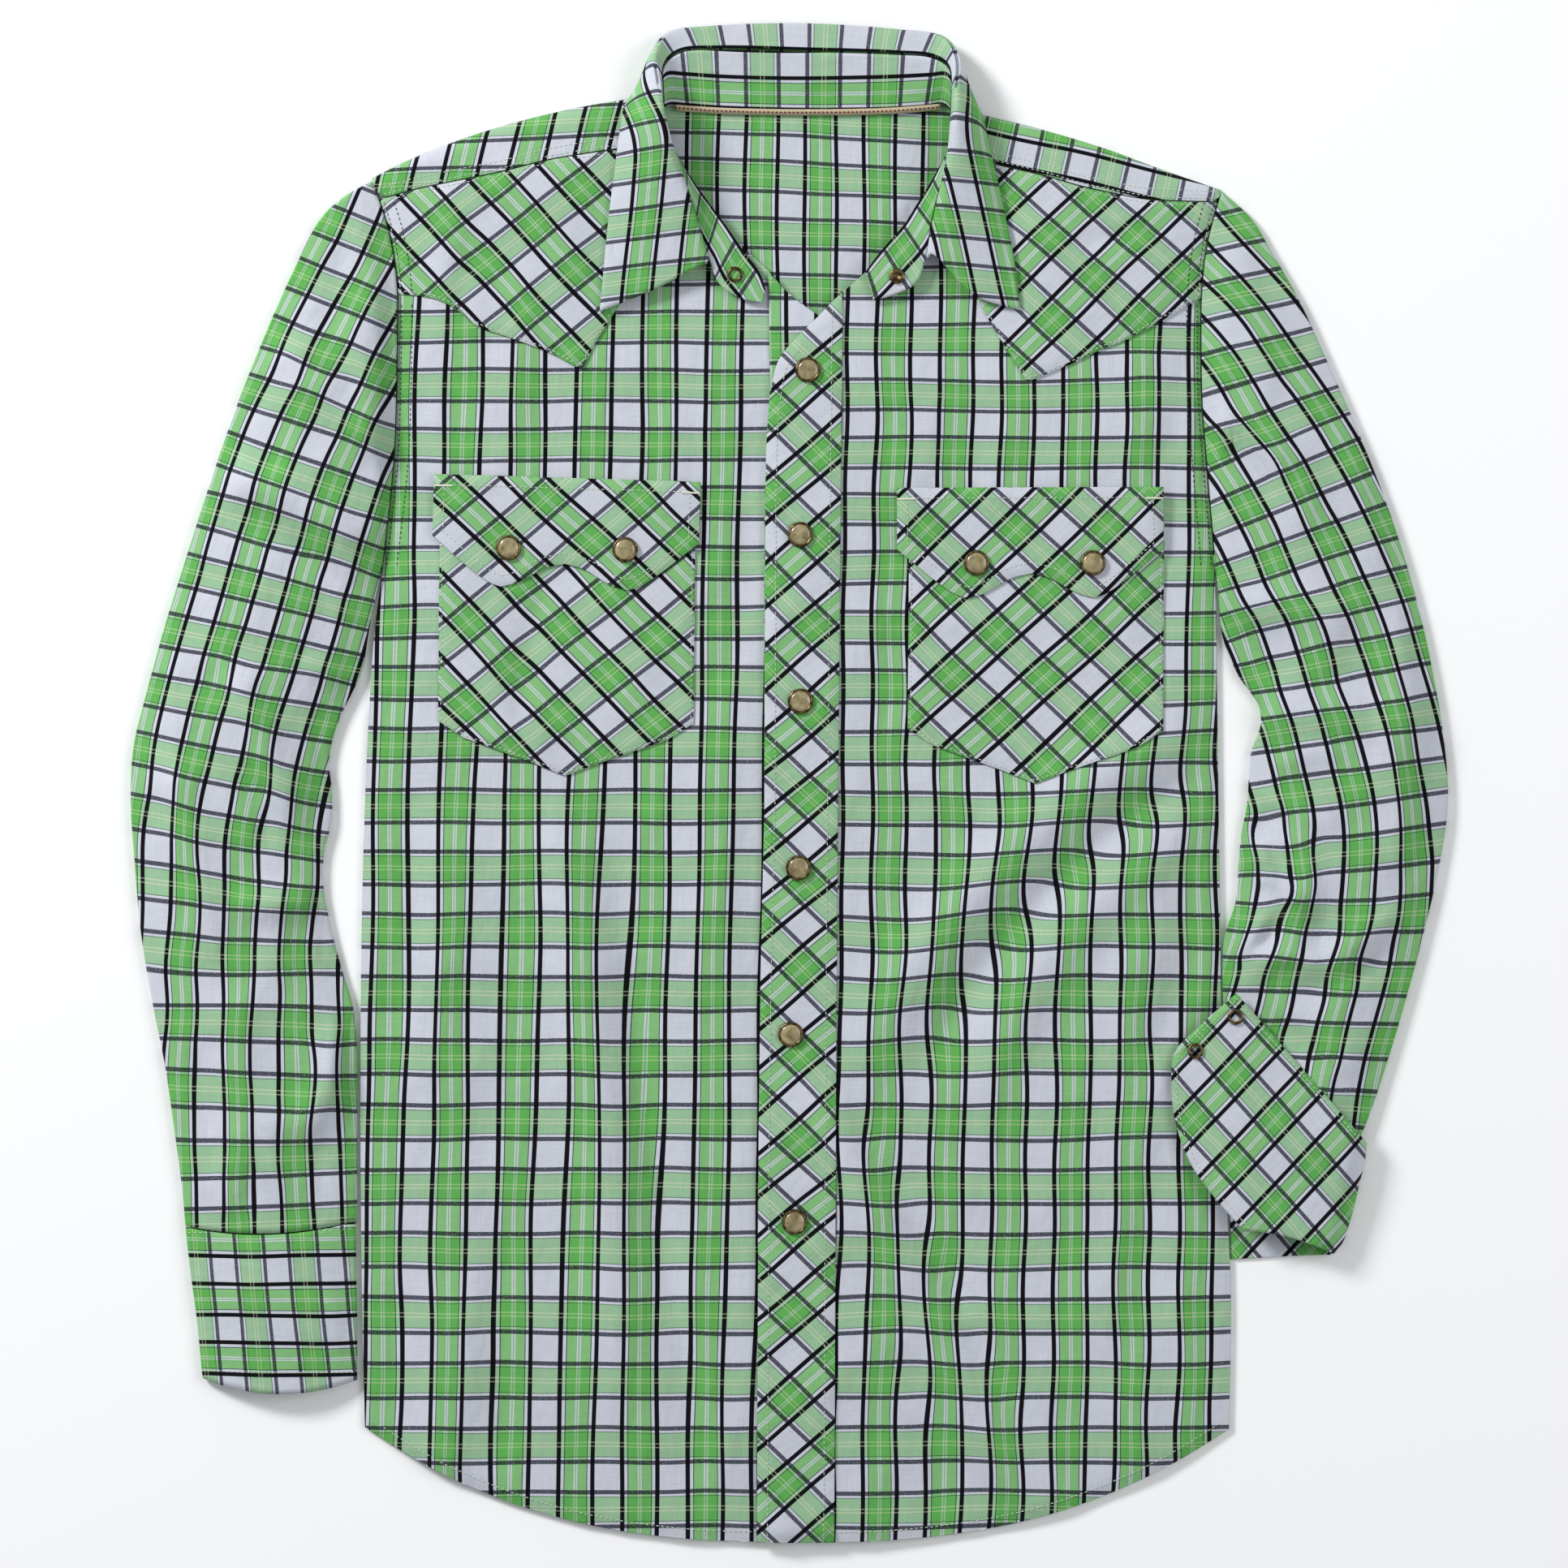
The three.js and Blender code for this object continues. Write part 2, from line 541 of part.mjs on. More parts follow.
function back() {
  const flat = (bottom) =>
    ROWS.filter((_, i) => i % 2 === 0 || i > ROWS.length - 4).map((v) =>
      COLUMNS.filter((_, j) => j % 5 === 0 || j === COLUMNS.length - 1).map((s) => [
        ...bodyPoint(s, v),
        bottom,
      ]),
    );
  const sheet = solid(between(flat(BACK_TOP), flat(0)));
  const panel = sheet.intersect(
    cutter(line([-FAR, -FAR * 2], [FAR, -FAR * 2]), line(...moved(BACK_SEAM, 0, -SEAM)).reverse()),
  );
  add("back_panel", geometryOf(panel));
  const neck = [[-70, 380], [-68, 364], [-54, 359], [-36, 357.5], [9, 356], [54, 357], [74, 359],
    [86, 362], [88, 380]];
  const under = sheet.intersect(
    cutter(line(...BACK_SEAM), line([FAR, 500], [88, 500]), line(...neck).reverse(),
      line([-70, 500], [-FAR, 500])),
  );
  const rolled = (base) => (s, v) =>
    0.6 + (base(s, v) + PLY - 0.6) * Math.sqrt(1 - (1 - clamp(((1 - v) * 740) / 13, 0, 1)) ** 2);
  const strip = (base, side, inner) => {
    const seam = side < 0 ? yokeSeam.left : [...yokeSeam.right].reverse();
    return bodyPly(rolled(base), 0).intersect(
      cutter(curve(10, ...moved(seam.slice(0, -1), 0, SEAM), inner),
        line([inner[0], 500], [side * FAR, 500])),
    );
  };
  const yoke = under
    .add(strip(underPlain, -1, [-77, 339]))
    .add(strip(underRaised, 1, [95, 332.5]));
  add("back_yoke", geometryOf(yoke));
}

// A wall of cloth round a grid of points on its middle surface
function wall(points, closed = false, thickness = CLOTH) {
  const rows = points.length;
  const count = points[0].length;
  const at = (i, j) => {
    const k = closed ? (j + count) % count : clamp(j, 0, count - 1);
    return new THREE.Vector3(...points[clamp(i, 0, rows - 1)][k]);
  };
  const layer = (distance) =>
    points.map((row, i) =>
      row.map((_, j) => {
        const across = at(i, j + 1).sub(at(i, j - 1));
        const down = at(i + 1, j).sub(at(i - 1, j));
        const normal = across.cross(down).normalize();
        return at(i, j).addScaledVector(normal, distance).toArray();
      }),
    );
  return between(layer(thickness / 2), layer(-thickness / 2), closed);
}

// Rows of a table at more places, on smooth curves through its points
function refine(rows, count, pick) {
  const path = new THREE.CatmullRomCurve3(
    rows.map((row) => new THREE.Vector3(...pick(row))), false, "centripetal");
  return Array.from({ length: count + 1 }, (_, i) => path.getPoint(i / count));
}

// Edge of the body at a height, which the first sections of a sleeve follow
const ARMHOLE_GAP = 1.6;
function armholeAt(side, y) {
  const sign = side === "left" ? -1 : 1;
  const rise = (x) => along(SIDES, "at", side, (y - hemAt(x)) / (shoulderAt(x) - hemAt(x)));
  return rise(rise(sign * 214)) + sign * ARMHOLE_GAP;
}

// A sleeve or cuff: a flattened tube through sections
const RIM = 2.6; // radius of the rolled rim
const TUBE_TOP = 9; // points across the upper side
const FOLLOW = 5; // sections over which a sleeve loses the armhole's curve
function tube(rows, count, folds, side) {
  const rims = [0, 1].map((k) => refine(rows, count, (row) => [...row.rims[k], 0]));
  const sizes = refine(rows, count, (row) => [row.bow, row.height, row.rest]);
  const points = sizes.map(({ x: bow, y: height, z: rest }, i) => {
    const a = rims[0][i];
    const b = rims[1][i];
    const width = a.distanceTo(b);
    const half = CLOTH / 2;
    const follow = side ? ease(1 - i / FOLLOW) : 0;
    const spot = (d, z) => {
      const s = d / width;
      const arc = (bow * 4 * s * (1 - s)) / width;
      const x = a.x + (b.x - a.x) * s + (b.y - a.y) * arc;
      const y = a.y + (b.y - a.y) * s - (b.x - a.x) * arc;
      if (!follow) return [x, y, z];
      const seam = rims[0][0].clone().lerp(rims[1][0], s);
      const eased = x + (armholeAt(side, seam.y) - seam.x) * follow;
      const beside = side === "left" ? Math.min : Math.max;
      return [beside(eased, armholeAt(side, y)), y, z];
    };
    const ring = [];
    for (let k = 0; k <= TUBE_TOP; k += 1) {
      const share = (1 - Math.cos((Math.PI * k) / TUBE_TOP)) / 2;
      const d = RIM + (width - 2 * RIM) * share;
      const [x, y] = spot(d, 0);
      const arch = Math.sin(Math.PI * (0.08 + 0.84 * share)) ** 0.7;
      const crown = rest + 2 * RIM + (height - 2 * RIM) * clamp((arch - 0.3) / 0.7, 0, 1);
      const fold = foldHeight(folds, x, y) * ease(share / 0.14) * ease((1 - share) / 0.14);
      const calm = ease(i / 2.5) * ease((count - i) / 2.5);
      ring.push(spot(d, crown + fold * calm - half));
    }
    ring.push(spot(width - RIM * 0.2, rest + RIM * 1.5));
    ring.push(spot(width - RIM * 0.2, rest + RIM * 0.5 + half / 2));
    for (let k = 3; k >= 0; k -= 1) ring.push(spot(RIM + ((width - 2 * RIM) * k) / 3, rest + half));
    ring.push(spot(RIM * 0.2, rest + RIM * 0.5 + half / 2));
    ring.push(spot(RIM * 0.2, rest + RIM * 1.5));
    return ring;
  });
  return points;
}

const ELBOW = 11; // section at which the right sleeve's solid is parted, so that its hollow collides
function sleeves() {
  add("sleeve_left", wall(tube(LEFT_SLEEVE, 22, LEFT_SLEEVE_FOLDS, "left"), true));
  const right = tube(RIGHT_SLEEVE, 22, RIGHT_SLEEVE_FOLDS, "right");
  const elbow = right[ELBOW].map((point, j) => {
    const next = new THREE.Vector3(...right[ELBOW + 1][j]);
    return new THREE.Vector3(...point).lerp(next, 0.046).toArray();
  });
  add("sleeve_right_upper", wall(right.slice(0, ELBOW + 1), true));
  add("sleeve_right_lower", wall([elbow, ...right.slice(ELBOW + 1)], true));
  add("cuff_left", wall(tube(LEFT_CUFF, 3, []), true));
}

// The turned-back cuff: an upper ply that rolls over the sleeve's side onto a lower one
function turnedCuff() {
  const steps = [0, 0.12, 0.25, 0.4, 0.55, 0.68, 0.78, 0.86, 0.92, 0.96, 0.985, 1];
  const rims = [0, 1].map((k) => refine(TURNED_CUFF, 9, (row) => [...row.rims[k], 0]));
  const bows = refine(TURNED_CUFF, 9, (row) => [row.bow, 0, 0]);
  const points = bows.map(({ x: bow }, i) => {
    const [a, b] = [rims[0][i], rims[1][i]];
    const width = a.distanceTo(b);
    return steps.map((s) => {
      const inside = (1 - s) * width - CLOTH / 2;
      const roll = Math.sqrt(1 - (1 - clamp(inside / TURNED_CUFF_ROLL, 0, 1)) ** 2);
      const x = a.x + (b.x - CLOTH / 2 - a.x) * s;
      const y = a.y + (b.y - a.y) * s - bow * 4 * s * (1 - s);
      const rise = ease((x - 204) / 40);
      const flat = TURNED_CUFF_TIP + (TURNED_CUFF_HEIGHT - TURNED_CUFF_TIP) * rise;
      return [x, y, 0.8 + (flat - 0.8) * roll];
    });
  });
  const upper = solid(wall(points));
  const lower = solid(
    new THREE.ExtrudeGeometry(
      new THREE.Shape(
        line([233.5, -216], [234, -250.5], [270, -248.5], [286.5, -248], [290.5, -245],
          [294, -238], [297.5, -226], [300.5, -214], [270, -214]),
      ),
      { depth: CLOTH, bevelEnabled: false },
    ),
  );
  add("cuff_right", geometryOf(upper.add(lower)));
}

// Collar stand and leaf, through the sections of the table
const STAND_SHORT = 1.7; // how far the stand ends before the middle of the leaf's wall
function collar() {
  const stand = COLLAR.map(({ neck, top }) => {
    const low = new THREE.Vector3(...neck);
    const high = new THREE.Vector3(...top);
    const reach = low.distanceTo(high);
    return [0, 0.5, (reach - STAND_SHORT) / reach].map((t) => low.clone().lerp(high, t).toArray());
  });
  const across = (rows, count) => {
    const lines = rows[0].map((_, j) => refine(rows, count, (row) => row[j]));
    return lines[0].map((_, i) => lines.map((column) => column[i].toArray()));
  };
  add("collar_stand", wall(across(stand, 40)));
  const leaf = COLLAR.filter((row) => row.crease).map(({ top, crease, leaf: middle, edge }) => {
    const points = [top, crease, middle, edge].map((p) => new THREE.Vector3(...p));
    const section = new THREE.CatmullRomCurve3(points, false, "centripetal");
    return Array.from({ length: 9 }, (_, k) => section.getPoint(k / 8).toArray());
  });
  add("collar_leaf", wall(across(leaf, 36)));
}

// Highest point of a mesh within a radius of a place
function topOf(mesh, x, y, radius) {
  const ray = new THREE.Raycaster();
  const spots = [[0, 0]];
  for (let k = 0; k < 8; k += 1) {
    const turn = (k * Math.PI) / 4;
    spots.push([radius * Math.cos(turn), radius * Math.sin(turn)]);
  }
  const heights = spots.map(([dx, dy]) => {
    ray.set(new THREE.Vector3(x + dx, y + dy, 90), new THREE.Vector3(0, 0, -1));
    const hit = ray.intersectObject(mesh)[0];
    return hit ? hit.point.z : -Infinity;
  });
  return Math.max(...heights);
}

// A turned fitting on the upper side of a piece
function fitting(name, on, [x, y], profile, colour) {
  const radius = Math.max(...profile.map(([r]) => r));
  const turned = new THREE.LatheGeometry(line(...profile), 12).rotateX(Math.PI / 2);
  const made = solid(turned);
  const geometry = geometryOf(made);
  const mesh = add(name, geometry, colour, 0.6);
  mesh.position.set(x, y, topOf(shirt.getObjectByName(on), x, y, radius) + SEAM);
}

const CAP = [
  [0, 0], [SNAP_RADIUS, 0], [SNAP_RADIUS, 1.4], [SNAP_RADIUS - 0.9, 2.1],
  [SNAP_RADIUS - 2.6, 2.6], [0, SNAP_HEIGHT],
];
const EYELET = [
  [EYELET_RADIUS - 1.5, 0], [EYELET_RADIUS, 0], [EYELET_RADIUS, 0.7],
  [EYELET_RADIUS - 0.75, 1.1], [EYELET_RADIUS - 1.5, 0.7], [EYELET_RADIUS - 1.5, 0],
];
const SOCKET = [
  [0, 0], [SOCKET_RADIUS, 0], [SOCKET_RADIUS, 0.9], [SOCKET_RADIUS - 0.8, 1.4],
  [SOCKET_RADIUS - 2.1, 1.4], [SOCKET_RADIUS - 2.3, 0.5], [0, 0.5],
];
const PLACKET_SNAPS = [[10, 220], [6, 133], [6, 45], [5, -43], [1, -131], [3, -230]];
const FLAP_SNAPS = {
  left: [[-148, 126], [-86.5, 125]],
  right: [[99, 118], [160.5, 118]],
};

function snaps() {
  PLACKET_SNAPS.forEach((spot, i) => {
    fitting(`snap_${i + 1}`, "placket", spot, CAP, colours.pearl);
  });
  Object.entries(FLAP_SNAPS).forEach(([side, spots]) => {
    spots.forEach((spot, i) => {
      fitting(`flap_snap_${side}_${i + 1}`, `flap_${side}`, spot, CAP, colours.pearl);
    });
  });
  fitting("collar_eyelet", "collar_stand", [-28.5, 270.5], EYELET, colours.metal);
  fitting("collar_socket", "collar_stand", [57, 269.5], SOCKET, colours.metal);
  fitting("cuff_eyelet_1", "cuff_right", [235.5, -121.5], EYELET, colours.metal);
  fitting("cuff_eyelet_2", "cuff_right", [214.5, -139.5], EYELET, colours.metal);
}

fronts();
plackets();
frontYokes();
pockets();
back();
sleeves();
turnedCuff();
collar();
snaps();
shirt.position.set(-MIDDLE.x, -MIDDLE.y, 0);

export default shirt;
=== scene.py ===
"""Western snap shirt laid flat: the finished cloth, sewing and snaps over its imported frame."""
import logging
import math
from collections.abc import Sequence
from dataclasses import dataclass, field
from enum import Enum
from typing import NamedTuple

import bpy
import numpy as np
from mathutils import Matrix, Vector
from mathutils.bvhtree import BVHTree
from mathutils.geometry import delaunay_2d_cdt


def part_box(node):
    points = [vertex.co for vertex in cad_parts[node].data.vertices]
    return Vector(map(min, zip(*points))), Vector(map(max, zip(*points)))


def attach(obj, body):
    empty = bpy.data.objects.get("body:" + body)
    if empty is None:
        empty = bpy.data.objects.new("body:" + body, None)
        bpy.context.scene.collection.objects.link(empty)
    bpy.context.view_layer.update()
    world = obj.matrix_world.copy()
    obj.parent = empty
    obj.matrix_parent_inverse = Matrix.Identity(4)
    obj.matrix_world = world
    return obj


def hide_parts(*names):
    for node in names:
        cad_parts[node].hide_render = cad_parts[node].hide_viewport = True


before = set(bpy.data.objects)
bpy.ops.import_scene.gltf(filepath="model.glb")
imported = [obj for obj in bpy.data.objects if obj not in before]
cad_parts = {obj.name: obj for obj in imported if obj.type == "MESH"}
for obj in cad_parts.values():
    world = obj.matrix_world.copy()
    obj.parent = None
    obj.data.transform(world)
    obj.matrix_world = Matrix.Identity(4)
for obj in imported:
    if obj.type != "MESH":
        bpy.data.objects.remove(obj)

LOG = logging.getLogger("shirt")
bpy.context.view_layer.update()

# Everything below is in millimetres until a mesh is made. The tables' origin is not the frame's.
MM = 0.001
MIDDLE = np.array([0.2, 2.0, 0.0])
CLOTH = 1.6
SEAM = 0.3
PLY = CLOTH + SEAM
SHELL = 0.9
REPEAT = 34.2
UNDER = 0.15
NECK_MIDDLE = 9

Point = tuple[float, float]


class Side(NamedTuple):
    """Edges of the body at a share of the way from hem to shoulder."""

    at: float
    left: float
    right: float


class Fold(NamedTuple):
    """A soft ridge from one end to the other, bowed sideways."""

    start: Point
    end: Point
    bow: float
    width: float
    height: float


class Section(NamedTuple):
    """A section of a sleeve or cuff: its two rims, its height, its bow and where it rests."""

    first: Point
    second: Point
    height: float = 0
    bow: float = 0
    rest: float = 0


class Run(NamedTuple):
    """Where a sleeve's plaid lies at a distance down its middle line.

    It gives how far off the line a black line runs there and how much the grey lines lean.
    """

    down: float
    black: float
    lean: float


class CollarRow(NamedTuple):
    """A section of the collar, from the neck seam to the free edge of the leaf."""

    neck: tuple[float, float, float]
    top: tuple[float, float, float]
    crease: tuple[float, float, float] | None = None
    leaf: tuple[float, float, float] | None = None
    edge: tuple[float, float, float] | None = None


class Direction(Enum):
    """Which side of the shirt a piece belongs to, as seen from above."""

    LEFT = "left"
    RIGHT = "right"


def ease(t: np.ndarray | float) -> np.ndarray:
    """Smooth step from 0 to 1.

    Args:
        t: Where to read it; it is held between 0 and 1.

    Returns:
        The step's value.
    """
    c = np.clip(t, 0.0, 1.0)
    return c * c * (3 - 2 * c)


def along(keys: Sequence[float], values: Sequence[float], at: np.ndarray | float) -> np.ndarray:
    """Read a table between its rows, on a smooth curve that doesn't overshoot.

    Args:
        keys: The table's rising key column.
        values: The column to read.
        at: Where to read it.

    Returns:
        The values there.
    """
    x, y = np.asarray(keys, float), np.asarray(values, float)
    at = np.asarray(at, float)
    low = np.clip(np.arange(len(x)) - 1, 0, None)
    high = np.clip(np.arange(len(x)) + 1, None, len(x) - 1)
    slope = (y[high] - y[low]) / (x[high] - x[low])
    i = np.clip(np.searchsorted(x, at, side="left") - 1, 0, len(x) - 2)
    span = x[i + 1] - x[i]
    t = np.clip((at - x[i]) / span, 0, 1)
    flat = (y[i + 1] - y[i]) / span
    m0 = np.where(slope[i] * flat <= 0, 0, slope[i])
    m1 = np.where(slope[i + 1] * flat <= 0, 0, slope[i + 1])
    return (
        (2 * t**3 - 3 * t**2 + 1) * y[i]
        + (t**3 - 2 * t**2 + t) * span * m0
        + (3 * t**2 - 2 * t**3) * y[i + 1]
        + (t**3 - t**2) * span * m1
    )


def smooth_path(points: Sequence[Sequence[float]], count: int) -> np.ndarray:
    """Centripetal Catmull-Rom curve through points, evenly read between each two of them.

    Args:
        points: The points that it goes through.
        count: How many stretches to read it in.

    Returns:
        count + 1 points.
    """
    p = np.asarray(points, float)
    p = np.vstack([2 * p[0] - p[1], p, 2 * p[-1] - p[-2]])
    out = []
    for k in range(count + 1):
        place = k / count * (len(p) - 3)
        i = min(int(place), len(p) - 4)
        w = place - i
        p0, p1, p2, p3 = p[i : i + 4]
        d1 = max(np.linalg.norm(p1 - p0), 1e-4) ** 0.5
        d2 = max(np.linalg.norm(p2 - p1), 1e-4) ** 0.5
        d3 = max(np.linalg.norm(p3 - p2), 1e-4) ** 0.5
        t1 = ((p1 - p0) / d1 - (p2 - p0) / (d1 + d2) + (p2 - p1) / d2) * d2
        t2 = ((p2 - p1) / d2 - (p3 - p1) / (d2 + d3) + (p3 - p2) / d3) * d2
        out.append(
            p1 + t1 * w + (-3 * p1 + 3 * p2 - 2 * t1 - t2) * w**2 + (2 * p1 - 2 * p2 + t1 + t2) * w**3
        )
    return np.array(out)


def fold_height(folds: Sequence[Fold], x: np.ndarray, y: np.ndarray) -> np.ndarray:
    """Height that a table of folds adds at points.

    Args:
        folds: The folds.
        x: The points' x.
        y: The points' y.

    Returns:
        The added height.
    """
    total = np.zeros_like(x)
    for fold in folds:
        total += fold.height * fold_shape(fold, x, y)[0]
    return total


def fold_shape(fold: Fold, x: np.ndarray, y: np.ndarray) -> tuple[np.ndarray, np.ndarray, np.ndarray]:
    """Shape of one fold of height 1.

    Args:
        fold: The fold.
        x: The points' x.
        y: The points' y.

    Returns:
        Its height, how far off its middle line a point is in widths, and how it fades at its ends.
    """
    (x0, y0), (x1, y1) = fold.start, fold.end
    dx, dy = x1 - x0, y1 - y0
    length = math.hypot(dx, dy)
    t = ((x - x0) * dx + (y - y0) * dy) / length**2
    side = (dx * (y - y0) - dy * (x - x0)) / length
    off = (side - fold.bow * 4 * t * (1 - t)) / fold.width
    fade = ease((t + 0.12) / 0.35) * ease((1.12 - t) / 0.35)
    return fade * np.exp(-off * off), off, fade


def fold_pull(folds: Sequence[Fold], x: np.ndarray, y: np.ndarray, pull: float) -> tuple[np.ndarray, np.ndarray]:
    """How far folds draw the cloth's own pattern sideways.

    Args:
        folds: The folds.
        x: The points' x.
        y: The points' y.
        pull: Pattern drawn in for each millimetre of a fold's height.

    Returns:
        The shift of the pattern in x and in y.
    """
    sx, sy = np.zeros_like(x), np.zeros_like(y)
    for fold in folds:
        _, off, fade = fold_shape(fold, x, y)
        dx, dy = fold.end[0] - fold.start[0], fold.end[1] - fold.start[1]
        length = math.hypot(dx, dy)
        shift = pull * fold.height * fade * off * np.exp(0.5 - off * off / 2)
        sx += -dy / length * shift
        sy += dx / length * shift
    return sx, sy


def drift(x: np.ndarray, y: np.ndarray, seed: float) -> np.ndarray:
    """Slow irregular wander of the cloth, between about -1 and 1.

    Args:
        x: The points' x.
        y: The points' y.
        seed: Sets one piece apart from another.

    Returns:
        The wander.
    """
    waves = ((71, 0.3, 0.9), (113, 1.7, 0.6), (47, 2.6, 0.35), (163, 4.1, 0.8))
    total = np.zeros_like(x)
    for k, (length, turn, weight) in enumerate(waves):
        c, s = math.cos(turn + seed), math.sin(turn + seed)
        total += weight * np.sin((x * c + y * s) * 2 * math.pi / length + 5.1 * seed + k)
    return total / 2


class Stripe(NamedTuple):
    """A stripe of the plaid, as the share of a repeat where it ends and its tint."""

    end: float
    tint: tuple[float, float, float]


BLACK = (0.07, 0.065, 0.11)
INK = (0.16, 0.24, 0.33)
WHITE = (0.985, 0.98, 1.0)
GREEN = (0.63, 0.885, 0.565)
SAGE = (0.68, 0.87, 0.64)
PALE = (0.735, 0.905, 0.705)
CREAM = (0.93, 0.965, 0.80)
GREY = (0.37, 0.37, 0.42)
MOSS = (0.42, 0.55, 0.46)

WARP_STRIPES = (
    Stripe(0.034, BLACK),
    Stripe(0.431, WHITE),
    Stripe(0.500, BLACK),
    Stripe(0.547, WHITE),
    Stripe(0.560, INK),
    Stripe(0.704, GREEN),
    Stripe(0.722, WHITE),
    Stripe(0.744, SAGE),
    Stripe(0.762, WHITE),
    Stripe(0.906, GREEN),
    Stripe(0.919, INK),
    Stripe(0.966, WHITE),
    Stripe(1.0, BLACK),
)
WEFT_STRIPES = (
    Stripe(0.033, GREY),
    Stripe(0.432, WHITE),
    Stripe(0.498, GREY),
    Stripe(0.535, WHITE),
    Stripe(0.548, MOSS),
    Stripe(0.697, PALE),
    Stripe(0.713, CREAM),
    Stripe(0.755, PALE),
    Stripe(0.771, CREAM),
    Stripe(0.920, PALE),
    Stripe(0.932, MOSS),
    Stripe(0.967, WHITE),
    Stripe(1.0, GREY),
)
FINE_WEFT = (
    Stripe(0.697, (0.0, 0.0, 0.0)),
    Stripe(0.713, (0.62, 0.62, 0.62)),
    Stripe(0.755, (0.0, 0.0, 0.0)),
    Stripe(0.771, (0.62, 0.62, 0.62)),
    Stripe(1.0, (0.0, 0.0, 0.0)),
)


@dataclass(frozen=True)
class Cut:
    """How a piece was cut from the plaid.

    Attributes:
        start: A point where a black line that bounds a white band crosses the grey line below a
            white band.
        turn: Turn of the black lines from +Y in degrees, counterclockwise.
        warp: Repeat across the black lines.
        weft: Repeat across the grey lines.
        wander: How far the pattern wanders.
        seed: Sets the wander of one piece apart from another's.
        lean: How far the black lines alone lean right on their way up.
        skew: How far the grey lines are off the square of the black ones, in degrees.
        closing: How fast the grey lines close up with the square of the way above the start.
    """

    start: Point
    turn: float = 0.0
    warp: float = REPEAT
    weft: float = REPEAT
    wander: float = 0.7
    seed: float = 0.0
    lean: float = 0.0
    skew: float = 0.0
    closing: float = 0.0

    def pattern(self, x: np.ndarray, y: np.ndarray) -> np.ndarray:
        """Place of points in the plaid.

        Args:
            x: The points' x.
            y: The points' y.

        Returns:
            Repeats across the black lines and across the grey lines.
        """
        c, s = math.cos(math.radians(self.turn)), math.sin(math.radians(self.turn))
        dx = x - self.start[0] + self.wander * drift(x, y, self.seed)
        dy = y - self.start[1] + self.wander * drift(y, x, self.seed + 2)
        grey = math.radians(self.turn + 90 + self.skew)
        down = (dx * math.cos(grey) + dy * math.sin(grey)) / self.weft
        down = down + self.closing * np.maximum(dy - 50, 0) ** 2
        return np.column_stack([(dx * c + dy * (s - self.lean)) / self.warp, down])


class NodeTree:
    """A tree's nodes, made and joined in short calls."""

    tree: bpy.types.NodeTree

    def add(self, kind: str, **settings: object) -> bpy.types.Node:
        """Add a node.

        Args:
            kind: Its type.
            settings: Its properties.

        Returns:
            The node.
        """
        node = self.tree.nodes.new(kind)
        for key, value in settings.items():
            setattr(node, key, value)
        return node

    def join(self, source: bpy.types.NodeSocket, target: bpy.types.NodeSocket) -> None:
        """Link two sockets."""
        self.tree.links.new(source, target)


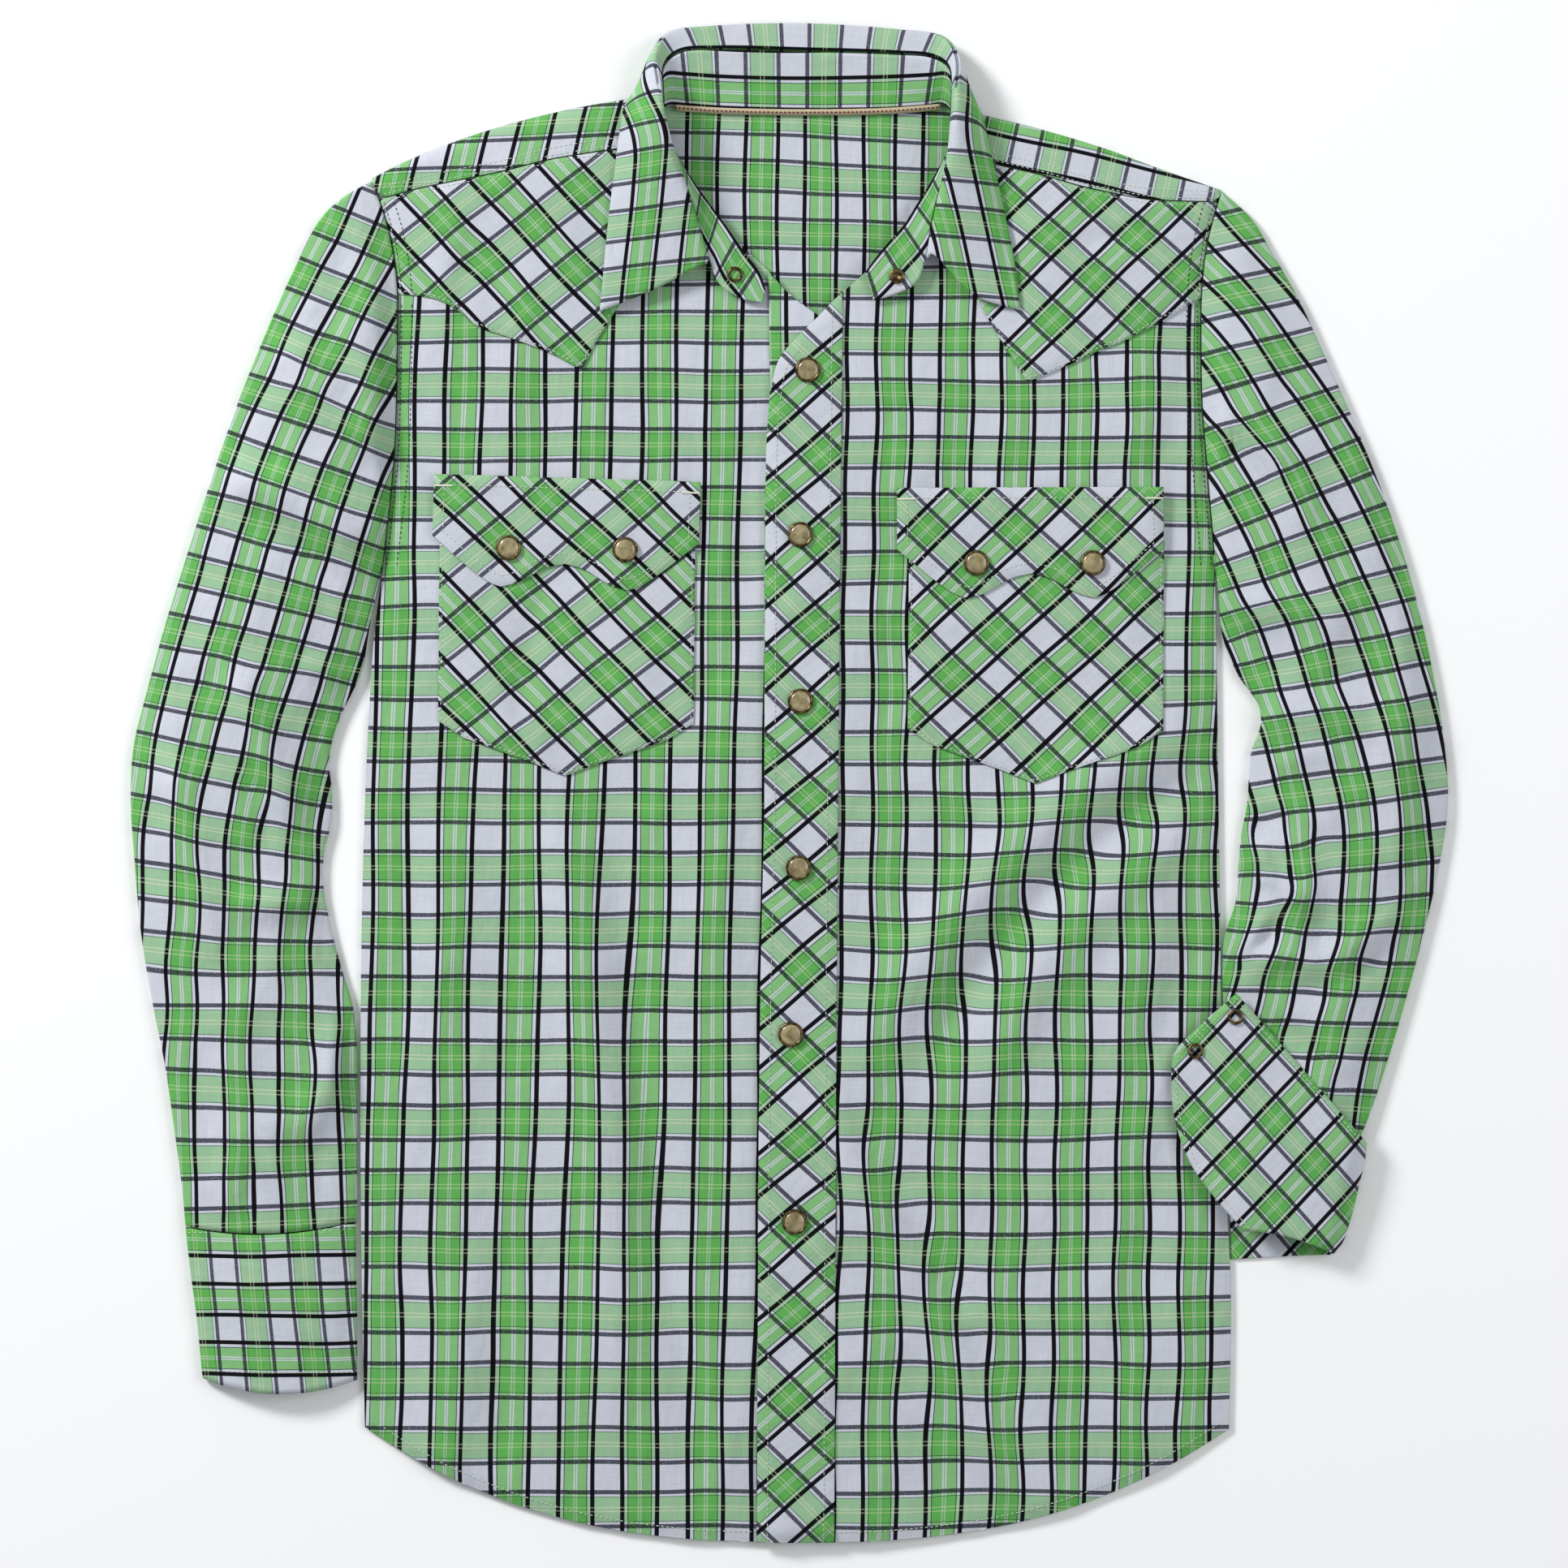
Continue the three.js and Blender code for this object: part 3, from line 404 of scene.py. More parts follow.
class ShaderTree(NodeTree):
    """A material and its nodes."""

    def __init__(self, name: str) -> None:
        """Start an empty tree with its shader.

        Args:
            name: The material's name.
        """
        self.material = bpy.data.materials.new(name)
        self.material.use_nodes = True
        self.tree = self.material.node_tree
        self.tree.nodes.clear()
        self.shader = self.add("ShaderNodeBsdfPrincipled")
        output = self.add("ShaderNodeOutputMaterial")
        self.join(self.shader.outputs["BSDF"], output.inputs["Surface"])

    def dress(self, colour: object, **values: float) -> bpy.types.Material:
        """Set the shader's inputs.

        Args:
            colour: The base colour, an output socket or a linear colour.
            values: Its other inputs, with _ for a space.

        Returns:
            The material.
        """
        self.feed(self.shader.inputs["Base Color"], (*colour, 1.0) if isinstance(colour, tuple) else colour)
        for name, value in values.items():
            self.feed(self.shader.inputs[name.replace("_", " ")], value)
        return self.material

    def bright(self, colour: bpy.types.NodeSocket) -> bpy.types.NodeSocket:
        """Brightness of a colour."""
        node = self.add("ShaderNodeRGBToBW")
        self.join(colour, node.inputs[0])
        return node.outputs[0]

    def feed(self, socket: bpy.types.NodeSocket, value: object) -> None:
        """Give an input a link or a value.

        Args:
            socket: The input.
            value: An output socket, or the value itself.
        """
        if isinstance(value, bpy.types.NodeSocket):
            self.join(value, socket)
        else:
            socket.default_value = value

    def math(self, operation: str, *values: object, clamp: bool = False) -> bpy.types.NodeSocket:
        """Add a Math node.

        Args:
            operation: What it does.
            values: Its inputs, each an output socket or a number.
            clamp: Whether to hold its result between 0 and 1.

        Returns:
            Its result.
        """
        node = self.add("ShaderNodeMath", operation=operation, use_clamp=clamp)
        for socket, value in zip(node.inputs, values):
            self.feed(socket, value)
        return node.outputs[0]

    def mix(self, blend: str, share: object, first: object, second: object) -> bpy.types.NodeSocket:
        """Mix two colours.

        Args:
            blend: The way to mix them.
            share: How much of the second, an output socket or a number.
            first: An output socket or a colour.
            second: An output socket or a colour.

        Returns:
            The mixed colour.
        """
        node = self.add("ShaderNodeMix", data_type="RGBA", blend_type=blend)
        self.feed(node.inputs[0], share)
        for socket, value in ((node.inputs[6], first), (node.inputs[7], second)):
            self.feed(socket, (*value, 1.0) if isinstance(value, tuple) and len(value) == 3 else value)
        return node.outputs[2]

    def noise(self, vector: object, scale: float, detail: float = 2.0) -> bpy.types.NodeSocket:
        """Add a noise.

        Args:
            vector: Where it is read.
            scale: Its scale.
            detail: Its detail.

        Returns:
            Its value.
        """
        node = self.add("ShaderNodeTexNoise")
        self.feed(node.inputs["Vector"], vector)
        node.inputs["Scale"].default_value = scale
        node.inputs["Detail"].default_value = detail
        return node.outputs["Fac"]

    def ramp(self, place: bpy.types.NodeSocket, stops: Sequence[tuple[float, tuple]]) -> bpy.types.NodeSocket:
        """Add a colour ramp.

        Args:
            place: Where it is read.
            stops: The place and the linear colour of each stop, rising.

        Returns:
            The colour.
        """
        node = self.add("ShaderNodeValToRGB")
        elements = node.color_ramp.elements
        elements[0].position, elements[0].color = stops[0][0], (*stops[0][1], 1)
        elements[1].position, elements[1].color = stops[-1][0], (*stops[-1][1], 1)
        for position, colour in stops[1:-1]:
            elements.new(position).color = (*colour, 1)
        self.join(place, node.inputs["Fac"])
        return node.outputs["Color"]


def linear(colour: Sequence[float]) -> tuple[float, float, float]:
    """Turn a screen colour into a linear one.

    Args:
        colour: Red, green and blue from 0 to 1.

    Returns:
        The linear colour.
    """
    return tuple(float(c) ** 2.2 for c in colour[:3])


def stripe_stops(stripes: Sequence[Stripe], soft: float) -> list[tuple[float, tuple]]:
    """Stops of a colour ramp that shows stripes with soft edges.

    Args:
        stripes: The stripes of one repeat.
        soft: Half the width of an edge, as a share of the repeat.

    Returns:
        The stops.
    """
    stops = [(0.0, linear(stripes[0].tint))]
    for left, right in zip(stripes, stripes[1:]):
        stops += [(left.end - soft, linear(left.tint)), (left.end + soft, linear(right.tint))]
    return stops + [(1.0, linear(stripes[-1].tint))]


@dataclass(frozen=True)
class PlaidCotton:
    """Woven cotton in a green, white and black plaid, that follows a piece's own cloth map.

    Attributes:
        name: The material's name.
        paper: Screen colour of the undyed yarn.
        roughness: Roughness of the cloth.
        sheen: Weight of its sheen.
        threads: Threads in a repeat.
    """

    name: str = "plaid_cotton"
    paper: tuple[float, float, float] = (0.782, 0.803, 0.81)
    roughness: float = 0.88
    sheen: float = 0.03
    threads: float = 68.0

    def make(self) -> bpy.types.Material:
        """Build the material.

        Returns:
            The material.
        """
        tree = ShaderTree(self.name)
        split = tree.add("ShaderNodeSeparateXYZ")
        cloth = tree.add("ShaderNodeUVMap", uv_map="cloth").outputs[0]
        tree.join(cloth, split.inputs[0])
        across, down = split.outputs[0], split.outputs[1]
        warp = tree.ramp(tree.math("FRACT", across), stripe_stops(WARP_STRIPES, 0.003))
        weft = tree.ramp(tree.math("FRACT", down), stripe_stops(WEFT_STRIPES, 0.003))
        colour = tree.mix("MULTIPLY", 1.0, warp, weft)
        fine = tree.ramp(tree.math("FRACT", down), stripe_stops(FINE_WEFT, 0.003))
        colour = tree.mix("MIX", fine, colour, linear(CREAM))
        colour = tree.mix("MULTIPLY", 1.0, linear(self.paper), colour)
        colour = self.slubs(tree, colour, across, down, weft, warp)
        self.weave(tree, across, down)
        values = {"Sheen_Weight": self.sheen, "Sheen_Roughness": 0.6, "Specular_IOR_Level": 0.12}
        return tree.dress(colour, Roughness=self.roughness, **values)

    def stretched(self, tree: ShaderTree, across: object, down: object, sx: float, sy: float) -> object:
        """Cloth coordinates stretched along the threads.

        Args:
            tree: The material's tree.
            across: Repeats across the black lines.
            down: Repeats across the grey lines.
            sx: Scale of the first.
            sy: Scale of the second.

        Returns:
            The stretched vector.
        """
        node = tree.add("ShaderNodeCombineXYZ")
        tree.join(tree.math("MULTIPLY", across, sx), node.inputs[0])
        tree.join(tree.math("MULTIPLY", down, sy), node.inputs[1])
        return node.outputs[0]

    def slubs(
        self, tree: ShaderTree, colour: object, across: object, down: object, weft: object, warp: object
    ) -> object:
        """Uneven yarns: pale flecks on the grey lines and slow changes along each thread.

        Args:
            tree: The material's tree.
            colour: The plaid's colour.
            across: Repeats across the black lines.
            down: Repeats across the grey lines.
            weft: Tint of the crossing yarns.
            warp: Tint of the lengthwise yarns.

        Returns:
            The colour with its yarns uneven.
        """
        flecks = tree.noise(self.stretched(tree, across, down, 26.0, 60.0), 1.0, 3.0)
        flecks = tree.math("MULTIPLY_ADD", flecks, 5.5, -3.0, clamp=True)
        dark = tree.math("LESS_THAN", tree.bright(weft), 0.2)
        clear = tree.math("GREATER_THAN", tree.bright(warp), 0.12)
        share = tree.math("MULTIPLY", tree.math("MULTIPLY", flecks, dark), tree.math("MULTIPLY", clear, 0.42))
        colour = tree.mix("MIX", share, colour, linear((0.70, 0.72, 0.76)))
        ends = tree.noise(self.stretched(tree, across, down, 60.0, 2.2), 1.0, 2.0)
        picks = tree.noise(self.stretched(tree, across, down, 2.2, 60.0), 1.0, 2.0)
        shade = tree.math("ADD", tree.math("MULTIPLY", ends, 0.22), tree.math("MULTIPLY", picks, 0.22))
        bright = tree.add("ShaderNodeCombineColor")
        for socket in bright.inputs[:3]:
            tree.join(tree.math("ADD", shade, 0.78), socket)
        return tree.mix("MULTIPLY", 1.0, colour, bright.outputs[0])

    def weave(self, tree: ShaderTree, across: object, down: object) -> None:
        """Relief of the threads and of the cloth's slight crumple.

        Args:
            tree: The material's tree.
            across: Repeats across the black lines.
            down: Repeats across the grey lines.
        """
        turn = 2 * math.pi * self.threads
        ends = tree.math("SINE", tree.math("MULTIPLY", across, turn))
        picks = tree.math("SINE", tree.math("MULTIPLY", down, turn))
        relief = tree.math("MULTIPLY", ends, picks)
        crumple = tree.noise(self.stretched(tree, across, down, 5.0, 5.0), 1.0, 4.0)
        creases = tree.noise(self.stretched(tree, across, down, 2.4, 0.9), 1.0, 2.0)
        bump = tree.add("ShaderNodeBump")
        bump.inputs["Strength"].default_value = 0.35
        bump.inputs["Distance"].default_value = 0.0012
        height = tree.math("ADD", tree.math("MULTIPLY", relief, 0.035), tree.math("MULTIPLY", crumple, 0.8))
        height = tree.math("ADD", height, tree.math("MULTIPLY", creases, 3.5))
        tree.join(height, bump.inputs["Height"])
        tree.join(bump.outputs[0], tree.shader.inputs["Normal"])


@dataclass(frozen=True)
class Thread:
    """Sewing thread.

    Attributes:
        name: The material's name.
        colour: Its screen colour.
    """

    name: str
    colour: tuple[float, float, float]

    def make(self) -> bpy.types.Material:
        """Build the material.

        Returns:
            The material.
        """
        tree = ShaderTree(self.name)
        place = tree.add("ShaderNodeTexCoord").outputs["Object"]
        speck = tree.noise(place, 900.0)
        dark = tuple(c * 0.72 for c in linear(self.colour))
        return tree.dress(tree.mix("MIX", speck, linear(self.colour), dark), Roughness=0.6, Sheen_Weight=0.2)


@dataclass(frozen=True)
class AgedBrass:
    """Dark antique brass, worn brighter in places.

    Attributes:
        name: The material's name.
        dark: Screen colour of the patina.
        worn: Screen colour where it is rubbed.
    """

    name: str = "aged_brass"
    dark: tuple[float, float, float] = (0.24, 0.20, 0.145)
    worn: tuple[float, float, float] = (0.58, 0.50, 0.36)

    def make(self) -> bpy.types.Material:
        """Build the material.

        Returns:
            The material.
        """
        tree = ShaderTree(self.name)
        place = tree.add("ShaderNodeTexCoord").outputs["Object"]
        patches = tree.math("MULTIPLY_ADD", tree.noise(place, 420.0, 4.0), 2.6, -0.95, clamp=True)
        colour = tree.mix("MIX", patches, linear(self.dark), linear(self.worn))
        return tree.dress(colour, Metallic=1.0, Roughness=tree.math("MULTIPLY_ADD", patches, -0.15, 0.48))


@dataclass(frozen=True)
class MarbledPearl:
    """Tan and olive marbled pearl of the snap caps.

    Attributes:
        name: The material's name.
        light: Screen colour of the light veins.
        dark: Screen colour between them.
    """

    name: str = "marbled_pearl"
    light: tuple[float, float, float] = (0.66, 0.61, 0.46)
    dark: tuple[float, float, float] = (0.41, 0.37, 0.245)

    def make(self) -> bpy.types.Material:
        """Build the material.

        Returns:
            The material.
        """
        tree = ShaderTree(self.name)
        place = tree.add("ShaderNodeTexCoord").outputs["Object"]
        warped = tree.add("ShaderNodeVectorMath", operation="ADD")
        tree.join(place, warped.inputs[0])
        swirl = tree.add("ShaderNodeTexNoise")
        tree.join(place, swirl.inputs["Vector"])
        swirl.inputs["Scale"].default_value = 90.0
        small = tree.add("ShaderNodeVectorMath", operation="SCALE")
        tree.join(swirl.outputs["Color"], small.inputs[0])
        small.inputs["Scale"].default_value = 0.012
        tree.join(small.outputs[0], warped.inputs[1])
        veins = tree.noise(warped.outputs[0], 210.0, 3.0)
        veins = tree.math("MULTIPLY_ADD", veins, 2.4, -0.7, clamp=True)
        colour = tree.mix("MIX", veins, linear(self.dark), linear(self.light))
        return tree.dress(colour, Roughness=0.22, Coat_Weight=0.5, Coat_Roughness=0.08)


@dataclass(frozen=True)
class PlainSurface:
    """A plain matt surface, for the table under the shirt.

    Attributes:
        name: The material's name.
        colour: Its screen colour.
    """

    name: str
    colour: tuple[float, float, float]

    def make(self) -> bpy.types.Material:
        """Build the material.

        Returns:
            The material.
        """
        return ShaderTree(self.name).dress(linear(self.colour), Roughness=0.9)


@dataclass
class Layer:
    """A surface of cloth: its points in millimetres, its faces and its place in the plaid."""

    points: np.ndarray
    faces: list[tuple[int, ...]]
    pattern: np.ndarray


def crumple(x: np.ndarray, y: np.ndarray, seed: float) -> np.ndarray:
    """Small soft creases of worn cotton that come and go.

    Args:
        x: The points' x.
        y: The points' y.
        seed: Sets one piece apart from another.

    Returns:
        Their height, mostly below 1.
    """
    total = np.zeros_like(x)
    for k, (length, turn, weight) in enumerate(((31, 0.5, 0.5), (43, 2.1, 0.8), (64, 1.2, 1.0), (52, 2.8, 0.8))):
        c, s = math.cos(turn + 0.2 * seed), math.sin(turn + 0.2 * seed)
        bend = 1.5 * np.sin((y * c - x * s) / 41 + k + seed)
        crest = np.exp(2.4 * (np.sin((x * c + y * s) * 2 * math.pi / length + bend + 2.3 * seed) - 1))
        patch = ease(0.45 + np.sin(x / 57 + 2 * k + seed) * np.sin(y / 66 + 1.3 * k + seed))
        total += weight * crest * patch
    return total


def vertex_normals(points: np.ndarray, faces: Sequence[tuple[int, ...]]) -> np.ndarray:
    """Unit normals at the points of a surface.

    Args:
        points: Its points.
        faces: Its faces.

    Returns:
        A normal for each point.
    """
    total = np.zeros_like(points)
    for size in {len(face) for face in faces}:
        chosen = np.array([face for face in faces if len(face) == size])
        a, b, c = points[chosen[:, 0]], points[chosen[:, 1]], points[chosen[:, 2]]
        normal = np.cross(b - a, c - a)
        if size == 4:
            normal = np.cross(c - a, points[chosen[:, 3]] - b)
        for column in range(size):
            np.add.at(total, chosen[:, column], normal)
    return total / np.maximum(np.linalg.norm(total, axis=1, keepdims=True), 1e-9)


def facing_up(layer: Layer, spot: int) -> Layer:
    """A surface, turned over if it faces down.

    Args:
        layer: The surface.
        spot: The point at which it should face up.

    Returns:
        The surface that faces up there.
    """
    if float(vertex_normals(layer.points, layer.faces)[spot, 2]) > 0:
        return layer
    return Layer(layer.points, [tuple(reversed(face)) for face in layer.faces], layer.pattern)


def mesh_object(
    name: str, points: np.ndarray, faces: list, material: bpy.types.Material, pattern: np.ndarray | None = None
) -> bpy.types.Object:
    """Make an object of a mesh given in the tables' millimetres.

    Args:
        name: The object's name.
        points: The mesh's points.
        faces: Its faces.
        material: Its material.
        pattern: Each point's place in the plaid.

    Returns:
        The object.
    """
    mesh = bpy.data.meshes.new(name)
    mesh.from_pydata(((points - MIDDLE) * MM).tolist(), [], faces)
    if pattern is not None:
        corner = np.empty(len(mesh.loops), dtype=np.int64)
        mesh.loops.foreach_get("vertex_index", corner)
        mesh.uv_layers.new(name="cloth").data.foreach_set("uv", pattern[corner].ravel())
    mesh.polygons.foreach_set("use_smooth", [True] * len(mesh.polygons))
    mesh.materials.append(material)
    mesh.validate()
    piece = bpy.data.objects.new(name, mesh)
    bpy.context.scene.collection.objects.link(piece)
    return piece


def thicken(layer: Layer, thickness: float) -> Layer:
    """Give a surface a wall under its outer side.

    Args:
        layer: The outer surface.
        thickness: The wall's thickness.

    Returns:
        The closed wall.
    """
    count = len(layer.points)
    inner = layer.points - vertex_normals(layer.points, layer.faces) * thickness
    edges: dict[tuple[int, int], int] = {}
    for face in layer.faces:
        for a, b in zip(face, (*face[1:], face[0])):
            edges[(a, b)] = 1
    rim = [(b, a, a + count, b + count) for a, b in edges if (b, a) not in edges]
    under = [tuple(i + count for i in reversed(face)) for face in layer.faces]
    return Layer(
        np.vstack([layer.points, inner]), layer.faces + under + rim, np.vstack([layer.pattern] * 2)
    )


def joined(layers: Sequence[Layer]) -> Layer:
    """Put several walls into one mesh.

    Args:
        layers: The walls.

    Returns:
        The mesh of them all.
    """
    faces, start = [], 0
    for layer in layers:
        faces += [tuple(i + start for i in face) for face in layer.faces]
        start += len(layer.points)
    return Layer(
        np.vstack([layer.points for layer in layers]), faces, np.vstack([layer.pattern for layer in layers])
    )


def grid_faces(rows: int, count: int, closed: bool = False) -> list[tuple[int, ...]]:
    """Faces of a grid of points, rows after each other.

    Args:
        rows: How many rows.
        count: How many points in a row.
        closed: Whether each row is a ring.

    Returns:
        The faces.
    """
    spans = count if closed else count - 1
    return [
        (i * count + j, i * count + (j + 1) % count, (i + 1) * count + (j + 1) % count, (i + 1) * count + j)
        for i in range(rows - 1)
        for j in range(spans)
    ]


def edge_distance(x: np.ndarray, y: np.ndarray, outline: np.ndarray) -> np.ndarray:
    """Distance of points from a closed outline.

    Args:
        x: The points' x.
        y: The points' y.
        outline: The outline's points.

    Returns:
        The distances.
    """
    best = np.full(len(x), np.inf)
    for a, b in zip(outline, np.roll(outline, -1, axis=0)):
        d = b - a
        t = np.clip(((x - a[0]) * d[0] + (y - a[1]) * d[1]) / max(float(d @ d), 1e-9), 0, 1)
        best = np.minimum(best, np.hypot(x - a[0] - t * d[0], y - a[1] - t * d[1]))
    return best


def inside(x: np.ndarray, y: np.ndarray, outline: np.ndarray) -> np.ndarray:
    """Whether points lie inside a closed outline.

    Args:
        x: The points' x.
        y: The points' y.
        outline: The outline's points.

    Returns:
        True for those inside.
    """
    hit = np.zeros(len(x), bool)
    for a, b in zip(outline, np.roll(outline, -1, axis=0)):
        crosses = (a[1] > y) != (b[1] > y)
        rise = b[1] - a[1] if b[1] != a[1] else 1e-9
        hit ^= crosses & (x < (b[0] - a[0]) * (y - a[1]) / rise + a[0])
    return hit


def counterclockwise(outline: Sequence[Point]) -> np.ndarray:
    """A closed outline, turned round if it runs clockwise.

    Args:
        outline: Its points.

    Returns:
        The points in counterclockwise order.
    """
    ring = np.asarray(outline, float)
    area = float(np.sum(ring[:, 0] * np.roll(ring[:, 1], -1) - ring[:, 1] * np.roll(ring[:, 0], -1)))
    return ring if area > 0 else ring[::-1]


def resample(points: Sequence[Point], step: float) -> np.ndarray:
    """Points of a closed outline at even steps, with its corners kept.

    Args:
        points: The outline.
        step: The longest step.

    Returns:
        The points.
    """
    out = []
    ring = np.asarray(points, float)
    for a, b in zip(ring, np.roll(ring, -1, axis=0)):
        n = max(1, math.ceil(float(np.linalg.norm(b - a)) / step))
        out += [a + (b - a) * k / n for k in range(n)]
    return np.array(out)


def fill(outline: np.ndarray, pitch: float) -> tuple[np.ndarray, list[tuple[int, ...]]]:
    """Fill an outline with an even net of triangles, closer along its edge.

    Args:
        outline: The outline's points, counterclockwise.
        pitch: The net's pitch.

    Returns:
        The net's points and faces.
    """
    low, high = outline.min(axis=0), outline.max(axis=0)
    net = []
    for row, y in enumerate(np.arange(low[1], high[1], pitch * 0.866)):
        xs = np.arange(low[0] + (row % 2) * pitch / 2, high[0], pitch)
        net.append(np.column_stack([xs, np.full(len(xs), y)]))
    middle = np.vstack(net)
    distance = edge_distance(middle[:, 0], middle[:, 1], outline)
    keep = inside(middle[:, 0], middle[:, 1], outline) & (distance > pitch * 0.85)
    points = [outline, middle[keep]]
    ahead, behind = np.roll(outline, -1, axis=0), np.roll(outline, 1, axis=0)
    tangent = ahead - behind
    inward = np.column_stack([-tangent[:, 1], tangent[:, 0]])
    inward /= np.maximum(np.linalg.norm(inward, axis=1, keepdims=True), 1e-9)
    for offset in (0.5, 1.3):
        row = outline + inward * offset
        fits = edge_distance(row[:, 0], row[:, 1], outline) > offset * 0.85
        fits &= inside(row[:, 0], row[:, 1], outline)
        points.append(row[fits])
    every = np.vstack(points)
    ring = list(range(len(outline)))
    edges = list(zip(ring, ring[1:] + ring[:1]))
    verts, _, faces, _, _, _ = delaunay_2d_cdt([Vector(p) for p in every], edges, [ring], 1, 1e-5, True)
    flat = np.array([tuple(v) for v in verts])
    corners = flat[np.array([list(face) for face in faces])]
    within = inside(*corners.mean(axis=1).T, outline)
    a, b = (corners[:, k] - corners[:, 0] for k in (1, 2))
    area = a[:, 0] * b[:, 1] - a[:, 1] * b[:, 0]
    return flat, [tuple(f) if n > 0 else tuple(reversed(f)) for f, n, own in zip(faces, area, within) if own]


SIDES = (
    Side(0.0, -224.5, 233),
    Side(0.1, -226, 234),
    Side(0.25, -227, 230.5),
    Side(0.45, -225.5, 228),
    Side(0.62, -220.5, 226.5),
    Side(0.695, -214.5, 225.5),
    Side(0.77, -209, 221.5),
    Side(0.83, -207.5, 218.5),
    Side(0.9, -207, 218),
    Side(0.95, -211.5, 221),
    Side(1.0, -221, 229),
)
SHOULDER = (
    (-222, 321.5),
    (-203, 331),
    (-177, 341.5),
    (-151, 350),
    (-117, 358.5),
    (-86, 364),
    (-70, 366),
    (86, 361),
    (100, 356.5),
    (132, 348.5),
    (167, 338),
    (197, 327),
    (230, 315.5),
)
BODY_FOLDS = (
    Fold((-124, -10), (-90, -345), 8, 15, 4.2),
    Fold((222, 36), (40, -146), -24, 17, 5.0),
    Fold((226, -16), (96, -176), -20, 15, 3.2),
    Fold((8, -160), (122, -378), 0, 14, 3.8),
    Fold((-196, 124), (-136, 10), 4, 15, 2.6),
    Fold((-160, 338), (-106, 262), 3, 11, 1.6),
    Fold((-178, 322), (-172, 226), -5, 11, 1.5),
    Fold((-175, -262), (-186, -384), 3, 14, 2.6),
    Fold((160, -250), (186, -365), 3, 14, 1.8),
    Fold((-30, 60), (-42, -120), -4, 15, 1.6),
)
BODY_WRINKLES = (
    Fold((-91, -20), (-42, -370), -5, 8, -2.0),
    Fold((-128, 110), (-140, 16), -6, 8, -1.6),
    Fold((-110, 108), (-70, 52), 3, 9, 1.4),
    Fold((-162, 334), (-100, 248), 0, 6, -1.3),
    Fold((-166, 295), (-172, 180), -6, 7, -1.4),
    Fold((-140, 280), (-152, 190), 4, 9, 1.2),
    Fold((232, 12), (70, -155), -20, 9, -2.2),
    Fold((25, -155), (140, -372), 5, 8, -2.0),
    Fold((216, -60), (196, -140), 3, 9, -1.4),
    Fold((196, -50), (172, -150), 2, 11, 1.4),
    Fold((-200, 0), (-214, -150), 4, 10, -1.4),
    Fold((-180, -20), (-196, -170), 5, 13, 1.6),
    Fold((-150, -60), (-160, -220), 4, 11, -1.2),
    Fold((-150, -230), (-150, -360), -3, 9, -1.4),
    Fold((-210, -260), (-216, -345), 2, 8, -1.2),
    Fold((-66, -240), (-30, -385), 4, 10, 1.5),
    Fold((-20, 210), (-36, 40), 4, 8, -1.0),
    Fold((-60, 200), (-64, 140), 2, 10, 1.0),
    Fold((44, 190), (52, 20), 5, 9, -1.0),
    Fold((70, 205), (72, 160), 2, 10, 1.1),
    Fold((206, 200), (190, 60), 4, 10, -1.3),
    Fold((186, 240), (180, 170), 3, 9, 1.1),
    Fold((120, -20), (60, 10), 3, 9, 1.2),
    Fold((196, -190), (170, -320), 3, 10, -1.3),
    Fold((96, -250), (150, -390), -4, 9, 1.4),
    Fold((60, -300), (84, -392), 2, 8, -1.2),
    Fold((206, -260), (214, -340), 2, 8, 1.4),
    Fold((150, 250), (190, 200), 3, 8, -1.0),
    Fold((120, 300), (170, 262), 3, 8, 1.2),
    Fold((200, 300), (150, 286), 2, 6, -0.8),
)
YOKE_SEAM_LEFT = (
    (-230, 309.5), (-214, 311.5), (-197, 316), (-175, 320.5), (-150, 325.5), (-129, 331), (-100, 336),
    (-66, 340),
)
YOKE_SEAM_RIGHT = (
    (86, 334), (112, 328.5), (137, 322.5), (156, 317), (175, 313), (190, 310.5), (212, 309.5), (240, 309),
)
NECK_LEFT = ((-61, 336), (-51, 320), (-37, 301), (-23, 284), (-11, 273), (-3, 264), (5.5, 256.5))
NECK_RIGHT = ((24, 257), (28, 261), (40.5, 272), (57, 292), (68, 308), (77, 322), (85, 338))
NECK_BACK = ((-70, 366), (-68, 364), (-54, 359), (-36, 357.5), (9, 356), (54, 357), (74, 359), (86, 361))
BACK_SEAM = ((-260, 256), (-215, 256), (-120, 244), (9, 222), (130, 244), (225, 256), (260, 256))
PLACKET_SNAPS = ((10, 220), (6, 133), (6, 45), (5, -43), (1, -131), (3, -230))
FLAP_SNAPS = {
    Direction.LEFT: ((-148, 126), (-86.5, 125)),
    Direction.RIGHT: ((99, 118), (160.5, 118)),
}


LEFT_SLEEVE = (
    Section((-222.2, 320.5), (-216.3, 116), 9),
    Section((-237, 312), (-219.8, 99), 11),
    Section((-249, 300), (-223, 81), 12),
    Section((-263, 272), (-226, 62), 13),
    Section((-276.5, 241), (-232, 48), 13.5),
    Section((-291, 205), (-237, 38), 13.5),
    Section((-306, 162), (-241, 27), 13.5),
    Section((-319.5, 120), (-243.5, 13), 13.5),
    Section((-331, 83), (-242, -2), 13.5),
    Section((-340, 50), (-242, -18), 13.5),
    Section((-347, 21), (-246, -35), 13),
    Section((-348.5, -7), (-246.5, -52), 13),
    Section((-346.5, -39), (-243, -72), 13),
    Section((-343, -78), (-237.5, -94), 12.5),
    Section((-336.5, -117), (-230.5, -118), 12),
    Section((-330.5, -147), (-228.5, -142), 11.5),
    Section((-325.5, -181), (-228.5, -170), 11, 1),
    Section((-321.5, -211), (-228.5, -200), 10.6, 3),
    Section((-319.5, -232.5), (-228.5, -229.5), 10.2, 5),
)
